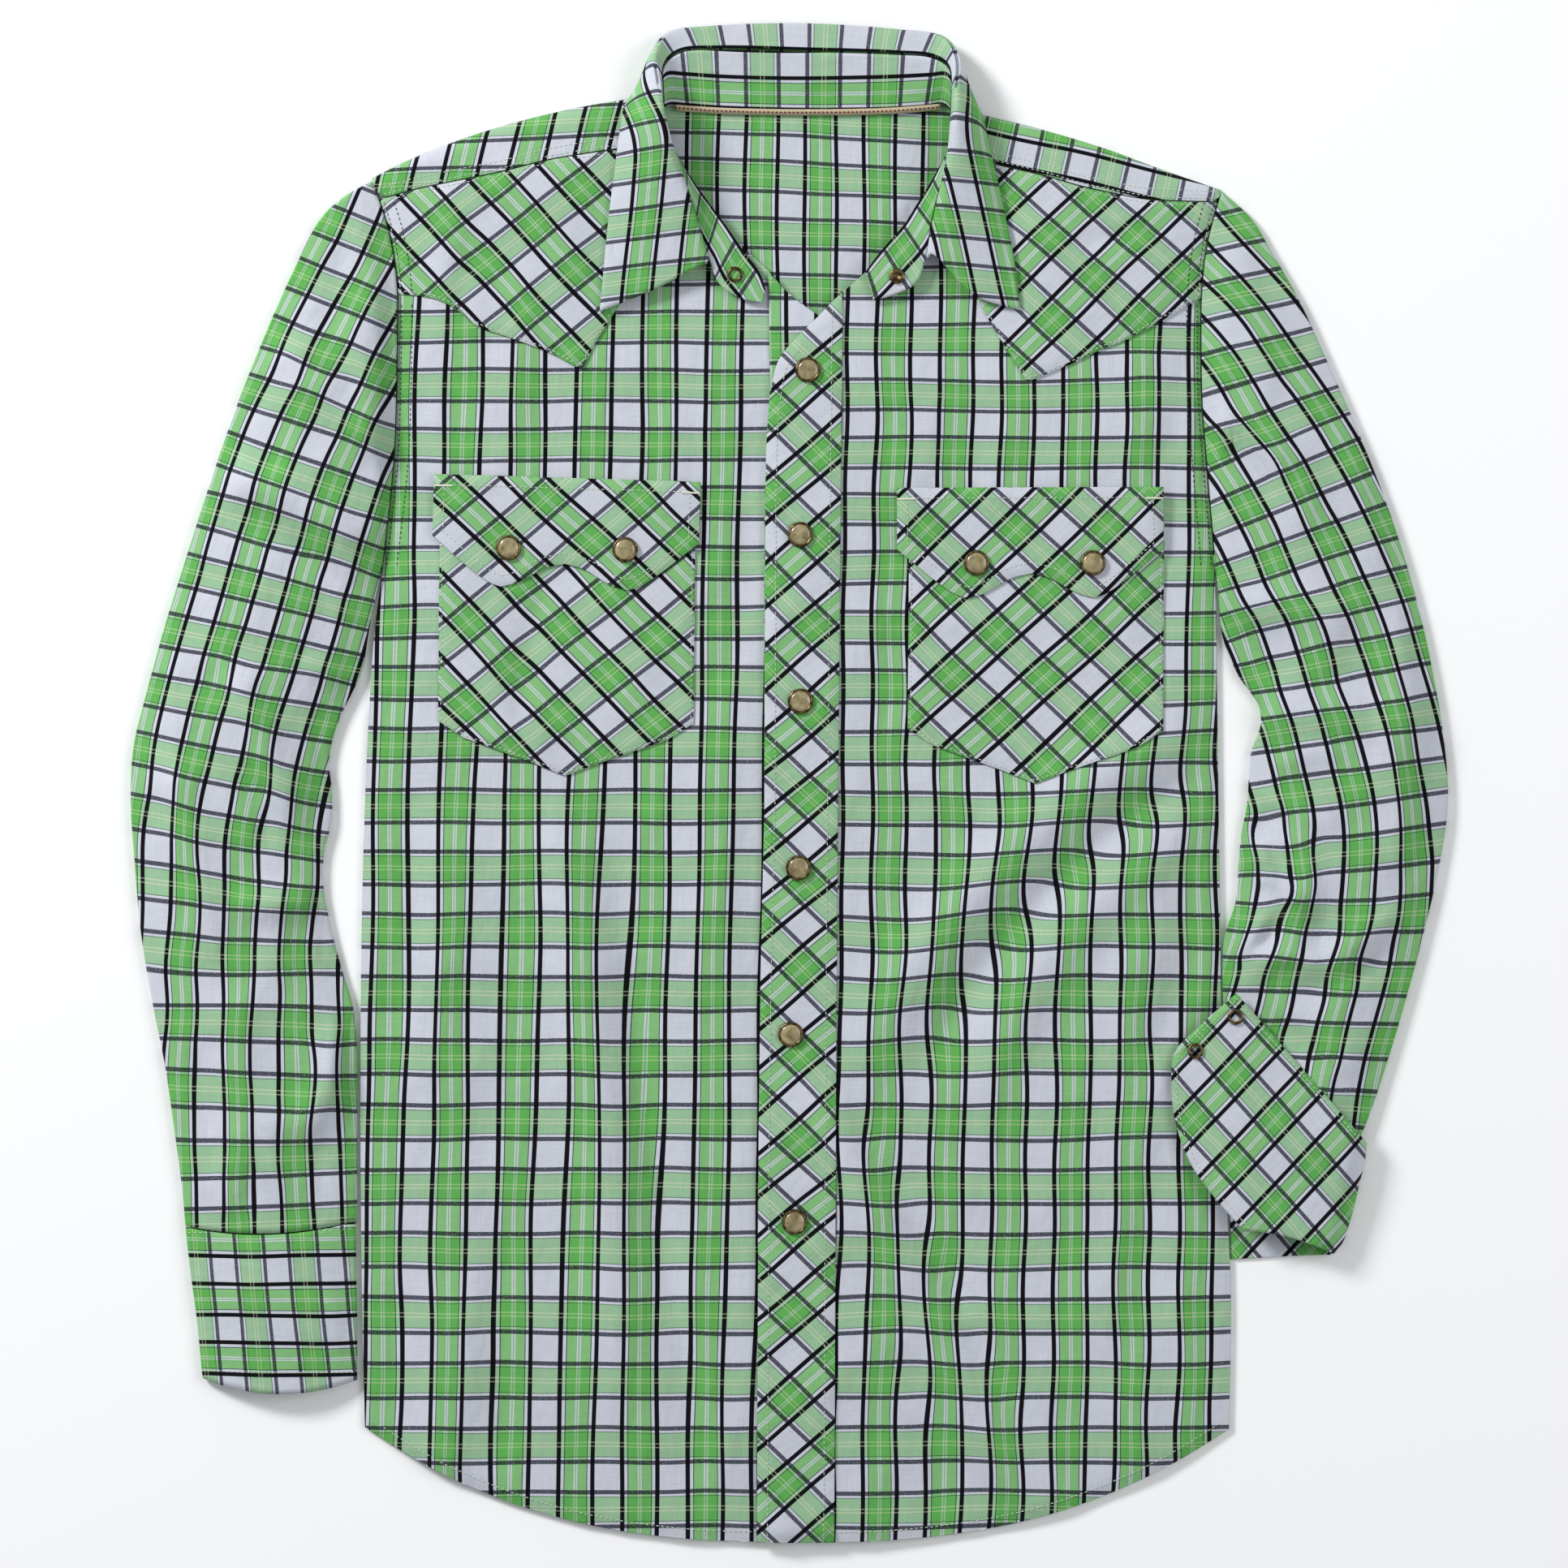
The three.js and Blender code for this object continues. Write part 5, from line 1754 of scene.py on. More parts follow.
POCKETS = (
    ChestPocket(
        Direction.LEFT,
        (-117, 132),
        -0.01,
        (-117, 163),
        -0.03,
        Cut((-118.7, 95.0), turn=44.3, warp=33.0, weft=34.0, seed=8.0, skew=-6.0),
        Cut((-128.0, 164.2), turn=46.8, warp=32.3, weft=32.7, seed=9.0, skew=-6.0),
    ),
    ChestPocket(
        Direction.RIGHT,
        (131, 128),
        -0.008,
        (127.5, 158),
        0.004,
        Cut((147.6, 57.0), turn=-47.7, warp=33.6, weft=33.0, seed=10.0, skew=3.4),
        Cut((132.8, 136.1), turn=-46.0, warp=32.4, weft=32.4, seed=11.0, skew=3.3),
    ),
)


@dataclass
class Back:
    """The back panel and the back yoke, flat on the floor, and the yoke's fold over the shoulders.

    Attributes:
        panel_cut: How the panel lies in the plaid.
        yoke_cut: How the yoke's flat part does.
        left_cut: How its fold over the left shoulder does.
        right_cut: How its fold over the right shoulder does.
        roll: How far in from the shoulder fold the cloth comes up.
    """

    panel_cut: Cut = Cut((-205.0, -236.5), warp=34.4, seed=12.0)
    yoke_cut: Cut = Cut((25.2, 329.2), warp=31.2, weft=29.4, wander=0.8, seed=13.0, skew=-2.5)
    left_cut: Cut = Cut((-164.0, 327.5), turn=-12.0, warp=33.0, weft=31.0, seed=14.0, skew=14.0)
    right_cut: Cut = Cut((130.0, 325.5), turn=77.0, warp=31.0, weft=31.0, seed=15.0)
    roll: float = 9.0

    @staticmethod
    def flat(outline: Sequence[Point], pitch: float, cut: Cut) -> Layer:
        """A flat surface on the floor.

        Args:
            outline: Its edge, counterclockwise.
            pitch: Pitch of its net.
            cut: How it lies in the plaid.

        Returns:
            The surface.
        """
        flat, faces = fill(resample(outline, pitch), pitch)
        return Layer(np.column_stack([flat, np.full(len(flat), SHELL)]), faces, cut.pattern(*flat.T))

    def strip(self, side: Direction) -> Layer:
        """The yoke's fold on the front of a shoulder.

        Args:
            side: Which shoulder.

        Returns:
            The surface.
        """
        if side is Direction.LEFT:
            run = [*within_sides(spline(moved(YOKE_SEAM_LEFT[:-1], 0, SEAM))), (-77, 339)]
            outline = [*run, *BODY.shoulder_run(-77, -221), (float(BODY.side(side, 316)), 316)]
        else:
            run = [(95, 332.5), *within_sides(spline(moved(YOKE_SEAM_RIGHT[1:], 0, SEAM)))]
            outline = [*run, (float(BODY.side(side, 312)), 312), *BODY.shoulder_run(229, 95)]
        ring = resample(outline, 3.0)
        flat, faces = fill(ring, 3.0)
        x, y = flat[:, 0], flat[:, 1]
        full = BODY.top(x, y, side is Direction.RIGHT) + PLY
        seam = np.asarray(run)
        near = np.min(np.hypot(x[:, None] - seam[:, 0], y[:, None] - seam[:, 1]), axis=1)
        full = full - 0.5 * (1 - ease(near / 3.5))
        over = np.sqrt(1 - (1 - np.clip(BODY.distances(x, y)[1] / self.roll, 0, 1)) ** 2)
        cut = self.left_cut if side is Direction.LEFT else self.right_cut
        return Layer(np.column_stack([x, y, 0.95 + (full - 0.95) * over]), faces, cut.pattern(x, y))

    def build(self, material: bpy.types.Material) -> list[Cloth]:
        """Make the two pieces.

        Args:
            material: Their cloth.

        Returns:
            The finished panel and yoke.
        """
        lower = [
            *BODY.hem_run(SIDES[0].left, SIDES[0].right),
            *BODY.side_run(Direction.RIGHT, BODY.corner(Direction.RIGHT), 255.7)[1:],
            *within_sides(moved(BACK_SEAM, 0, -SEAM)[::-1]),
            *BODY.side_run(Direction.LEFT, 255.7, BODY.corner(Direction.LEFT))[:-1],
        ]
        panel = Cloth("back_panel", self.flat(lower, 7.0, self.panel_cut), material)
        panel.declare(["back_panel"], 490, 650, "laid", ["floor"])
        upper = [
            *within_sides(BACK_SEAM),
            *BODY.side_run(Direction.RIGHT, 256.3, 315.0),
            *BODY.shoulder_run(229, 88),
            *NECK_BACK[::-1],
            *BODY.shoulder_run(-74, -221),
            *BODY.side_run(Direction.LEFT, 321.0, 256.3)[:-1],
        ]
        parts = [self.flat(upper, 3.6, self.yoke_cut), self.strip(Direction.LEFT), self.strip(Direction.RIGHT)]
        yoke = Cloth("back_yoke", joined(parts), material)
        yoke.declare(["back_yoke"], 470, 200, "folded", ["floor"])
        return [panel, yoke]


@dataclass(frozen=True)
class Spine:
    """Middle line of a sleeve, along which its plaid runs.

    Attributes:
        points: The line, from the shoulder down.
        runs: How the plaid lies along it.
        greys: Distances down the line at which the grey lines of the repeats lie, with their count.
        warp: Repeat across the black lines.
        seed: Sets the wander of one sleeve apart from another's.
    """

    points: tuple[Point, ...]
    runs: tuple[Run, ...]
    greys: tuple[Point, ...]
    warp: float = 31.2
    seed: float = 0.0

    def place(self, x: np.ndarray, y: np.ndarray) -> tuple[np.ndarray, np.ndarray]:
        """Distance off the line and along it.

        Args:
            x: The points' x.
            y: The points' y.

        Returns:
            The two distances, the first growing to the right.
        """
        line = smooth_path([(*p, 0.0) for p in self.points], 60)[:, :2]
        step = np.diff(line, axis=0)
        length = np.linalg.norm(step, axis=1)
        reached = np.concatenate([[0], np.cumsum(length)])
        off, down, weight = np.zeros_like(x), np.zeros_like(x), np.zeros_like(x)
        for i, (a, d, n) in enumerate(zip(line, step, length)):
            t = ((x - a[0]) * d[0] + (y - a[1]) * d[1]) / n
            low = -1e9 if i == 0 else 0.0
            high = 1e9 if i == len(step) - 1 else n
            gap = np.maximum(low - t, 0) + np.maximum(t - high, 0)
            near = np.exp(-((gap / 9.0) ** 2)) + 1e-12
            side = ((x - a[0]) * -d[1] + (y - a[1]) * d[0]) / n
            off += near * side
            down += near * (reached[i] + t)
            weight += near
        return off / weight, down / weight

    def pattern(self, x: np.ndarray, y: np.ndarray) -> np.ndarray:
        """Place of points in the plaid.

        Args:
            x: The points' x.
            y: The points' y.

        Returns:
            Repeats across the black lines and across the grey lines.
        """
        off, down = self.place(x, y)
        keys = [run.down for run in self.runs]
        black = along(keys, [run.black for run in self.runs], down)
        down = down - along(keys, [run.lean for run in self.runs], down) * off
        counts = along([row[0] for row in self.greys], [row[1] for row in self.greys], down)
        return np.column_stack([(off - black + 0.5 * drift(x, y, self.seed)) / self.warp, -counts])


@dataclass
class Tube:
    """A sleeve or cuff that lies flat: a wide flattened tube.

    Attributes:
        name: Its name.
        sections: Its sections, from the shoulder down.
        map: How it lies in the plaid.
        folds: Its folds.
        side: The armhole that its first sections follow, if any.
        rows: How many rings it is made of.
        stations: Sections of the solid, in which its ends are measured.
        start: Height of its first ring.
        nodes: The solids it stands for.
        flat: Width and length of its flat cut.
        rim: Radius of its two rims.
        across: How many stretches its upper side is read in.
        gap: Air between its head and the body's side.
    """

    name: str
    sections: Sequence[Section]
    map: Spine | Cut
    folds: Sequence[Fold]
    nodes: tuple[str, ...]
    flat: Point
    side: Direction | None = None
    rows: int = 150
    stations: int = 22
    start: float = 3.6
    rim: float = 2.25
    across: int = 46
    gap: float = 0.35

    def rings(self) -> np.ndarray:
        """Outer points of its rings.

        Returns:
            An array of rings, of points, of coordinates.
        """
        first = smooth_path([(*row.first, 0.0) for row in self.sections], self.rows)
        second = smooth_path([(*row.second, 0.0) for row in self.sections], self.rows)
        sizes = smooth_path([(row.bow, row.height, row.rest) for row in self.sections], self.rows)
        r = self.rim
        share = (1 - np.cos(np.pi * np.arange(self.across + 1) / self.across)) / 2
        arch = np.clip((np.sin(np.pi * (0.08 + 0.84 * share)) ** 0.7 - 0.377) / 0.623, 0, 1)
        turn = np.linspace(90, -90, 8)[1:-1] * math.pi / 180
        below = np.array([0, 0.1, 0.22, 0.36, 0.48, 0.497, 0.503, 0.52, 0.64, 0.78, 0.9, 1.0])
        rings = []
        for i, (a, b, (bow, height, rest)) in enumerate(zip(first, second, sizes)):
            station = i / self.rows * self.stations
            left = (self.rows - i) / self.rows * self.stations
            width = float(np.linalg.norm(b - a))
            d = np.concatenate([r + (width - 2 * r) * share, width - r + r * np.cos(turn)])
            d = np.concatenate([d, width - r - (width - 2 * r) * below, r - r * np.cos(turn[::-1])])
            s = d / width
            arc = bow * 4 * s * (1 - s) / width
            x = a[0] + (b[0] - a[0]) * s + (b[1] - a[1]) * arc
            y = a[1] + (b[1] - a[1]) * s - (b[0] - a[0]) * arc
            if self.side is not None and station < 5:
                sign = -1 if self.side is Direction.LEFT else 1
                seam = first[0] + np.outer(s, second[0] - first[0])
                x = x + (BODY.side(self.side, seam[:, 1]) + sign * self.gap - seam[:, 0]) * ease(1 - station / 5)
                x = sign * np.maximum(sign * x, sign * BODY.side(self.side, y) + self.gap)
            n = len(share)
            calm = ease(station / 1.6) * ease(left / 1.2)
            fold = 1.35 * fold_height(self.folds, x[:n], y[:n]) + 1.1 * crumple(x[:n], y[:n], 5.0)
            fold = fold * ease(share / 0.12) * ease((1 - share) / 0.12) * calm
            crown = rest + 2 * r + (height - 2 * r) * arch + fold
            if self.side is not None:
                crown = self.start + (crown - self.start) * ease(station / 1.3 + 0.12)
            middle = rest + r
            z = [np.maximum(crown, rest + 2 * r - 0.4), middle + r * np.sin(turn)]
            z += [np.full(len(below), rest), middle + r * np.sin(-turn)]
            rings.append(np.column_stack([x, y, np.concatenate(z)]))
        return np.array(rings)

    def layer(self) -> Layer:
        """Its outer side.

        Returns:
            The surface.
        """
        rings = self.rings()
        rows, count = rings.shape[:2]
        points = rings.reshape(-1, 3)
        shift = fold_pull(self.folds, points[:, 0], points[:, 1], 0.5)
        faces = [tuple(reversed(face)) for face in grid_faces(rows, count, True)]
        pattern = self.map.pattern(points[:, 0] + shift[0], points[:, 1] + shift[1])
        return Layer(points, faces, pattern)

    def build(self, material: bpy.types.Material) -> Cloth:
        """Make the piece.

        Args:
            material: Its cloth.

        Returns:
            The finished piece.
        """
        cloth = Cloth(self.name, facing_up(self.layer(), self.across // 2 + 60), material)
        cloth.declare(list(self.nodes), *self.flat, "laid", ["floor"])
        return cloth


def sleeves() -> list[Tube]:
    """The two sleeves and the snapped cuff.

    Returns:
        The tubes.
    """
    left = Spine(
        ((-205, 268), (-235, 195), (-264, 121), (-286, 40), (-297, -29), (-291, -85), (-283, -117), (-277, -170),
         (-274, -231)),
        (
            Run(-60, 24, 0), Run(-10, 23.5, 0), Run(20, 20.8, 0), Run(60, 18.1, -0.05), Run(99, 16.5, -0.05),
            Run(139, 18.6, -0.05), Run(178, 20.7, -0.05), Run(218, 19.4, -0.05), Run(258, 18.1, 0),
            Run(298, 17.8, 0.1), Run(338, 16, 0.23), Run(377, 7, 0.27), Run(418, -3, 0.17), Run(458, -6.2, 0.1),
            Run(493, -7.8, 0), Run(540, -8, 0),
        ),
        ((-85, -3), (-22.5, -1), (9.7, 0), (41.4, 1), (73.7, 2), (138.7, 4), (169.7, 5), (200.5, 6), (265.4, 8),
         (298.4, 9), (329.9, 10), (400.3, 12), (472.5, 14), (541, 16)),
        seed=20.0,
    )
    right = Spine(
        ((218, 262), (243, 190), (267, 125), (288, 60), (293, 0), (288, -60), (279, -105), (270, -165),
         (264, -218)),
        (
            Run(-60, -65, 0.1), Run(-12, -46, 0.12), Run(22, -31, 0.12), Run(60, -20, 0.05), Run(99, -10.5, -0.05),
            Run(139, -5, 0), Run(178, -1.5, 0.1), Run(218, 1.5, 0.02), Run(258, 9, -0.1), Run(298, 17, -0.2),
            Run(338, 20.5, -0.2), Run(377, 20.8, -0.15), Run(417, 17.6, -0.1), Run(457, 16, 0), Run(540, 14, 0),
        ),
        ((-105, -7), (-38, -5), (-3, -4), (33, -3), (71, -2), (105, -1), (138.9, 0), (168.5, 1), (199.5, 2),
         (232.5, 3), (266.3, 4), (301, 5), (335, 6), (367, 7), (400, 8), (434.5, 9), (502, 11), (568, 13)),
        seed=21.0,
    )
    cuff = Cut((-291.1, -262.4), turn=90.0, warp=31.6, weft=28.6, wander=0.5, seed=22.0, skew=5.0)
    return [
        Tube("sleeve_left", LEFT_SLEEVE, left, LEFT_FOLDS, ("sleeve_left",), (430, 600), Direction.LEFT),
        Tube(
            "sleeve_right", RIGHT_SLEEVE, right, RIGHT_FOLDS, ("sleeve_right_upper", "sleeve_right_lower"),
            (430, 580), Direction.RIGHT,
        ),
        Tube(
            "cuff_left", LEFT_CUFF, cuff, (Fold((-300, -262), (-245, -300), 4, 14, 0.8),), ("cuff_left",),
            (190, 90), rows=30, stations=3, gap=0,
        ),
    ]


@dataclass
class TurnedCuff:
    """The right cuff, unsnapped and turned back over the end of its sleeve.

    Attributes:
        cut: How it lies in the plaid.
        high: Height of its upper ply over the sleeve.
        tip: Height of its upper ply beside the sleeve.
        roll: How far in from its fold the upper ply comes up.
        rows: How many stretches the upper ply is read in along the cuff.
        across: How many across it.
        under: Edge of the lower ply.
    """

    cut: Cut = Cut((267.8, -175.8), turn=-43.0, warp=31.4, weft=31.4, wander=0.5, seed=23.0, skew=-5.0)
    high: float = 14.2
    tip: float = 9.2
    roll: float = 15.0
    rows: int = 56
    across: int = 60
    under: tuple[Point, ...] = (
        (233.5, -216), (234, -250.5), (270, -248.5), (286.5, -248), (290.5, -245), (294, -238), (297.5, -226),
        (300.5, -214), (270, -214),
    )

    def upper(self) -> Layer:
        """The ply that lies on the sleeve.

        Returns:
            The surface.
        """
        first = smooth_path([(*row.first, 0.0) for row in TURNED_CUFF], self.rows)
        second = smooth_path([(*row.second, 0.0) for row in TURNED_CUFF], self.rows)
        bows = smooth_path([(row.bow, 0, 0) for row in TURNED_CUFF], self.rows)[:, 0]
        s = 1 - (1 - np.linspace(0, 1, self.across + 1)) ** 1.6
        grid = []
        for i, (a, b, bow) in enumerate(zip(first, second, bows)):
            width = float(np.linalg.norm(b - a))
            near = np.clip(((1 - s) * width) / self.roll, 0, 1)
            over = np.sqrt(1 - (1 - near) ** 2)
            x = a[0] + (b[0] - a[0]) * s
            y = a[1] + (b[1] - a[1]) * s - bow * 4 * s * (1 - s)
            flat = self.tip + (self.high - self.tip) * ease((x - 204) / 40) + 0.8
            flat = flat + 0.5 * drift(x * 1.6, y * 1.6, 7.0) * ease(s / 0.1)
            flat = flat - 1.1 * (1 - ease(i / 4)) - 0.6 * (1 - ease((self.rows - i) / 3))
            grid.append(np.column_stack([x, y, SHELL + (flat - SHELL) * over]))
        points = np.array(grid).reshape(-1, 3)
        faces = grid_faces(self.rows + 1, self.across + 1)
        return Layer(points, [tuple(reversed(f)) for f in faces], self.cut.pattern(points[:, 0], points[:, 1]))

    def build(self, material: bpy.types.Material) -> Cloth:
        """Make the piece.

        Args:
            material: Its cloth.

        Returns:
            The finished piece.
        """
        flat, faces = fill(resample(counterclockwise(self.under), 4.0), 4.0)
        lower = Layer(np.column_stack([flat, np.full(len(flat), SHELL)]), faces, self.cut.pattern(*flat.T))
        upper = facing_up(self.upper(), self.across // 3 + 20 * (self.across + 1))
        cloth = Cloth("cuff_right", joined([upper, lower]), material)
        cloth.declare(["cuff_right"], 240, 100, "folded", ["sleeve_right"])
        return cloth


@dataclass
class Collar:
    """The collar stand and the leaf that turns down over it.

    Attributes:
        half: Half its thickness.
        short: How far the stand ends below the leaf's seam.
        length: How many stretches it is read in along its length.
        stand_line: Distance of a black line from the neck seam.
        seam_line: Place of the leaf's seam across the black lines.
        grey: Where a grey line crosses the back of the neck.
        left_cut: How the left front of the leaf lies in the plaid.
        right_cut: How the right front does.
    """

    half: float = 0.75
    short: float = 1.25
    length: int = 190
    stand_line: float = 17.0
    seam_line: float = 0.466
    grey: float = 28.9
    left_cut: Cut = Cut((-67.7, 306.6), turn=-5.8, warp=28.3, weft=30.4, seed=31.0, skew=11.6)
    right_cut: Cut = Cut((117.2, 302.8), turn=12.5, warp=28.0, weft=29.5, seed=32.0, skew=-17.5)

    def counted(self, rows: np.ndarray) -> np.ndarray:
        """Repeats across the grey lines along the collar, from the back of the neck.

        Args:
            rows: Points along the collar, of points across it, of coordinates.

        Returns:
            A count for each point along it.
        """
        middle = rows[:, rows.shape[1] // 2]
        reached = np.cumsum(np.linalg.norm(np.diff(middle, axis=0, prepend=middle[:1]), axis=1))
        return (reached - reached[np.argmin(np.hypot(middle[:, 0] - self.grey, middle[:, 1] - 395))]) / 32.5

    def surface(self, rows: np.ndarray, u: np.ndarray, v: np.ndarray) -> Layer:
        """A surface half its thickness above rows of points.

        Args:
            rows: Points along the collar, of points across it, of coordinates.
            u: Repeats across the black lines.
            v: Repeats across the grey lines.

        Returns:
            The surface.
        """
        points = rows.reshape(-1, 3)
        faces = grid_faces(*rows.shape[:2])
        outer = points + vertex_normals(points, faces) * self.half
        outer[:, 2] = np.maximum(outer[:, 2], 0.15)
        return Layer(outer, faces, np.column_stack([u.ravel(), v.ravel()]))

    def refined(self, rows: Sequence[Sequence[Sequence[float]]]) -> np.ndarray:
        """Points along the collar through each column of rows."""
        columns = [smooth_path([row[j] for row in rows], self.length) for j in range(len(rows[0]))]
        return np.stack(columns, axis=1)

    def stand(self) -> Layer:
        """The stand.

        Returns:
            The surface.
        """
        rows = []
        for row in COLLAR:
            low, high = np.array(row.neck, float), np.array(row.top, float)
            reach = float(np.linalg.norm(high - low))
            steps = np.linspace(0, (reach - self.short) / reach, 16)
            rows.append([low + (high - low) * t for t in steps])
        grid = self.refined(rows)
        across = np.cumsum(np.linalg.norm(np.diff(grid, axis=1, prepend=grid[:, :1]), axis=2), axis=1)
        u = (across - self.stand_line + 0.4 * drift(grid[:, :, 0], grid[:, :, 1], 30.0)) / 31.0
        return self.surface(grid, u, self.counted(grid)[:, None] + 0 * across)

    def leaf(self) -> Layer:
        """The leaf.

        Returns:
            The surface.
        """
        rows = []
        for row in COLLAR:
            if row.crease is not None:
                rows.append(smooth_path([row.top, row.crease, row.leaf, row.edge], 34))
        grid = self.refined(rows)
        x, y = grid[:, :, 0], grid[:, :, 1]
        steps = np.linalg.norm(np.diff(grid, axis=1, prepend=grid[:, :1]), axis=2)
        u = self.seam_line - np.cumsum(steps, axis=1) / REPEAT
        v = self.counted(grid)[:, None] + 0 * u
        middle = grid[:, grid.shape[1] // 2]
        back = ease((middle[:, 1] - 330) / 50)[:, None]
        left = self.left_cut.pattern(x.ravel(), y.ravel()).reshape(*x.shape, 2)
        right = self.seam_line - self.right_cut.pattern(x.ravel(), y.ravel()).reshape(*x.shape, 2)
        side = np.where((middle[:, 0] < NECK_MIDDLE)[:, None, None], left, right)
        for half in (middle[:, 0] < NECK_MIDDLE, middle[:, 0] >= NECK_MIDDLE):
            turn = half[:, None] & (np.abs(back - 0.5) < 0.35)
            for k, own in ((0, u), (1, v)):
                side[half, :, k] += np.round(np.mean((own - side[:, :, k])[turn[:, 0]]))
        return self.surface(grid, side[:, :, 0] * (1 - back) + u * back, side[:, :, 1] * (1 - back) + v * back)

    def build(self, material: bpy.types.Material) -> list[Cloth]:
        """Make the two pieces.

        Args:
            material: Their cloth.

        Returns:
            The finished stand and leaf.
        """
        stand = Cloth("collar_stand", self.stand(), material, 2 * self.half)
        stand.declare(["collar_stand"], 450, 40, "folded", ["front_left", "front_right", "back_yoke"])
        leaf = Cloth("collar_leaf", self.leaf(), material, 2 * self.half)
        leaf.declare(["collar_leaf"], 430, 75, "folded", ["collar_stand"])
        return [stand, leaf]


class InstanceTree(NodeTree):
    """A Geometry Nodes tree that sets a shape on points and gives it one finish."""

    def __init__(self, name: str) -> None:
        """Start a tree with one geometry going in and one coming out.

        Args:
            name: The tree's name.
        """
        self.tree = bpy.data.node_groups.new(name, "GeometryNodeTree")
        self.tree.interface.new_socket("Geometry", in_out="INPUT", socket_type="NodeSocketGeometry")
        self.tree.interface.new_socket("Geometry", in_out="OUTPUT", socket_type="NodeSocketGeometry")
        self.entry = self.tree.nodes.new("NodeGroupInput")
        self.exit = self.tree.nodes.new("NodeGroupOutput")

    def size(self, name: str, default: float) -> None:
        """Add a named size to the tree's inputs."""
        socket = self.tree.interface.new_socket(name, in_out="INPUT", socket_type="NodeSocketFloat")
        socket.default_value = default

    def end(self, instances: bpy.types.NodeSocket, material: bpy.types.Material) -> None:
        """Make the instances real and give them their finish.

        Args:
            instances: The instances.
            material: The finish.
        """
        real = self.add("GeometryNodeRealizeInstances")
        dress = self.add("GeometryNodeSetMaterial")
        dress.inputs["Material"].default_value = material
        self.join(instances, real.inputs[0])
        self.join(real.outputs[0], dress.inputs["Geometry"])
        self.join(dress.outputs[0], self.exit.inputs[0])

    def run(self, name: str, mesh: bpy.types.Mesh, sizes: dict[str, float]) -> bpy.types.Object:
        """Run the tree on a mesh and keep the result as a plain object.

        Args:
            name: The new object's name.
            mesh: The mesh that goes in.
            sizes: The tree's named sizes.

        Returns:
            The object.
        """
        carrier = bpy.data.objects.new(f"{name}_path", mesh)
        bpy.context.scene.collection.objects.link(carrier)
        modifier = carrier.modifiers.new(self.tree.name, "NODES")
        modifier.node_group = self.tree
        for item in self.tree.interface.items_tree:
            if item.item_type == "SOCKET" and item.in_out == "INPUT" and item.name in sizes:
                modifier[item.identifier] = sizes[item.name]
        graph = bpy.context.evaluated_depsgraph_get()
        made = bpy.data.meshes.new_from_object(carrier.evaluated_get(graph))
        carrier.modifiers.remove(modifier)
        bpy.data.objects.remove(carrier)
        made.polygons.foreach_set("use_smooth", [True] * len(made.polygons))
        piece = bpy.data.objects.new(name, made)
        bpy.context.scene.collection.objects.link(piece)
        return piece


def stitch_tree(material: bpy.types.Material) -> InstanceTree:
    """Build the tree that sews stitches along the edges of a mesh.

    Args:
        material: The thread.

    Returns:
        The tree.
    """
    made = InstanceTree(f"stitches_{material.name}")
    for name, default in (("Pitch", 0.0028), ("Length", 0.002), ("Thread", 0.0003)):
        made.size(name, default)
    path = made.add("GeometryNodeMeshToCurve")
    made.join(made.entry.outputs["Geometry"], path.inputs[0])
    points = made.add("GeometryNodeCurveToPoints", mode="LENGTH")
    made.join(path.outputs[0], points.inputs[0])
    made.join(made.entry.outputs["Pitch"], points.inputs["Length"])
    turn = made.add("FunctionNodeAlignRotationToVector", axis="Z")
    made.join(points.outputs["Tangent"], turn.inputs["Vector"])
    bead = made.add("GeometryNodeMeshIcoSphere")
    bead.inputs["Subdivisions"].default_value = 1
    bead.inputs["Radius"].default_value = 1.0
    half = made.add("ShaderNodeMath", operation="MULTIPLY")
    made.join(made.entry.outputs["Length"], half.inputs[0])
    half.inputs[1].default_value = 0.5
    scale = made.add("ShaderNodeCombineXYZ")
    made.join(made.entry.outputs["Thread"], scale.inputs[0])
    made.join(made.entry.outputs["Thread"], scale.inputs[1])
    made.join(half.outputs[0], scale.inputs[2])
    place = made.add("GeometryNodeInstanceOnPoints")
    made.join(points.outputs["Points"], place.inputs["Points"])
    made.join(bead.outputs["Mesh"], place.inputs["Instance"])
    made.join(turn.outputs[0], place.inputs["Rotation"])
    made.join(scale.outputs[0], place.inputs["Scale"])
    made.end(place.outputs[0], material)
    return made


def fitting_tree(shape: bpy.types.Object, material: bpy.types.Material) -> InstanceTree:
    """Build the tree that sets a turned shape on each point of a mesh.

    Args:
        shape: The turned shape, about the origin.
        material: Its finish.

    Returns:
        The tree.
    """
    made = InstanceTree(f"fittings_{shape.name}")
    made.size("Scale", 1.0)
    info = made.add("GeometryNodeObjectInfo", transform_space="ORIGINAL")
    info.inputs["Object"].default_value = shape
    place = made.add("GeometryNodeInstanceOnPoints")
    made.join(made.entry.outputs["Geometry"], place.inputs["Points"])
    made.join(info.outputs["Geometry"], place.inputs["Instance"])
    made.join(made.entry.outputs["Scale"], place.inputs["Scale"])
    made.end(place.outputs[0], material)
    return made


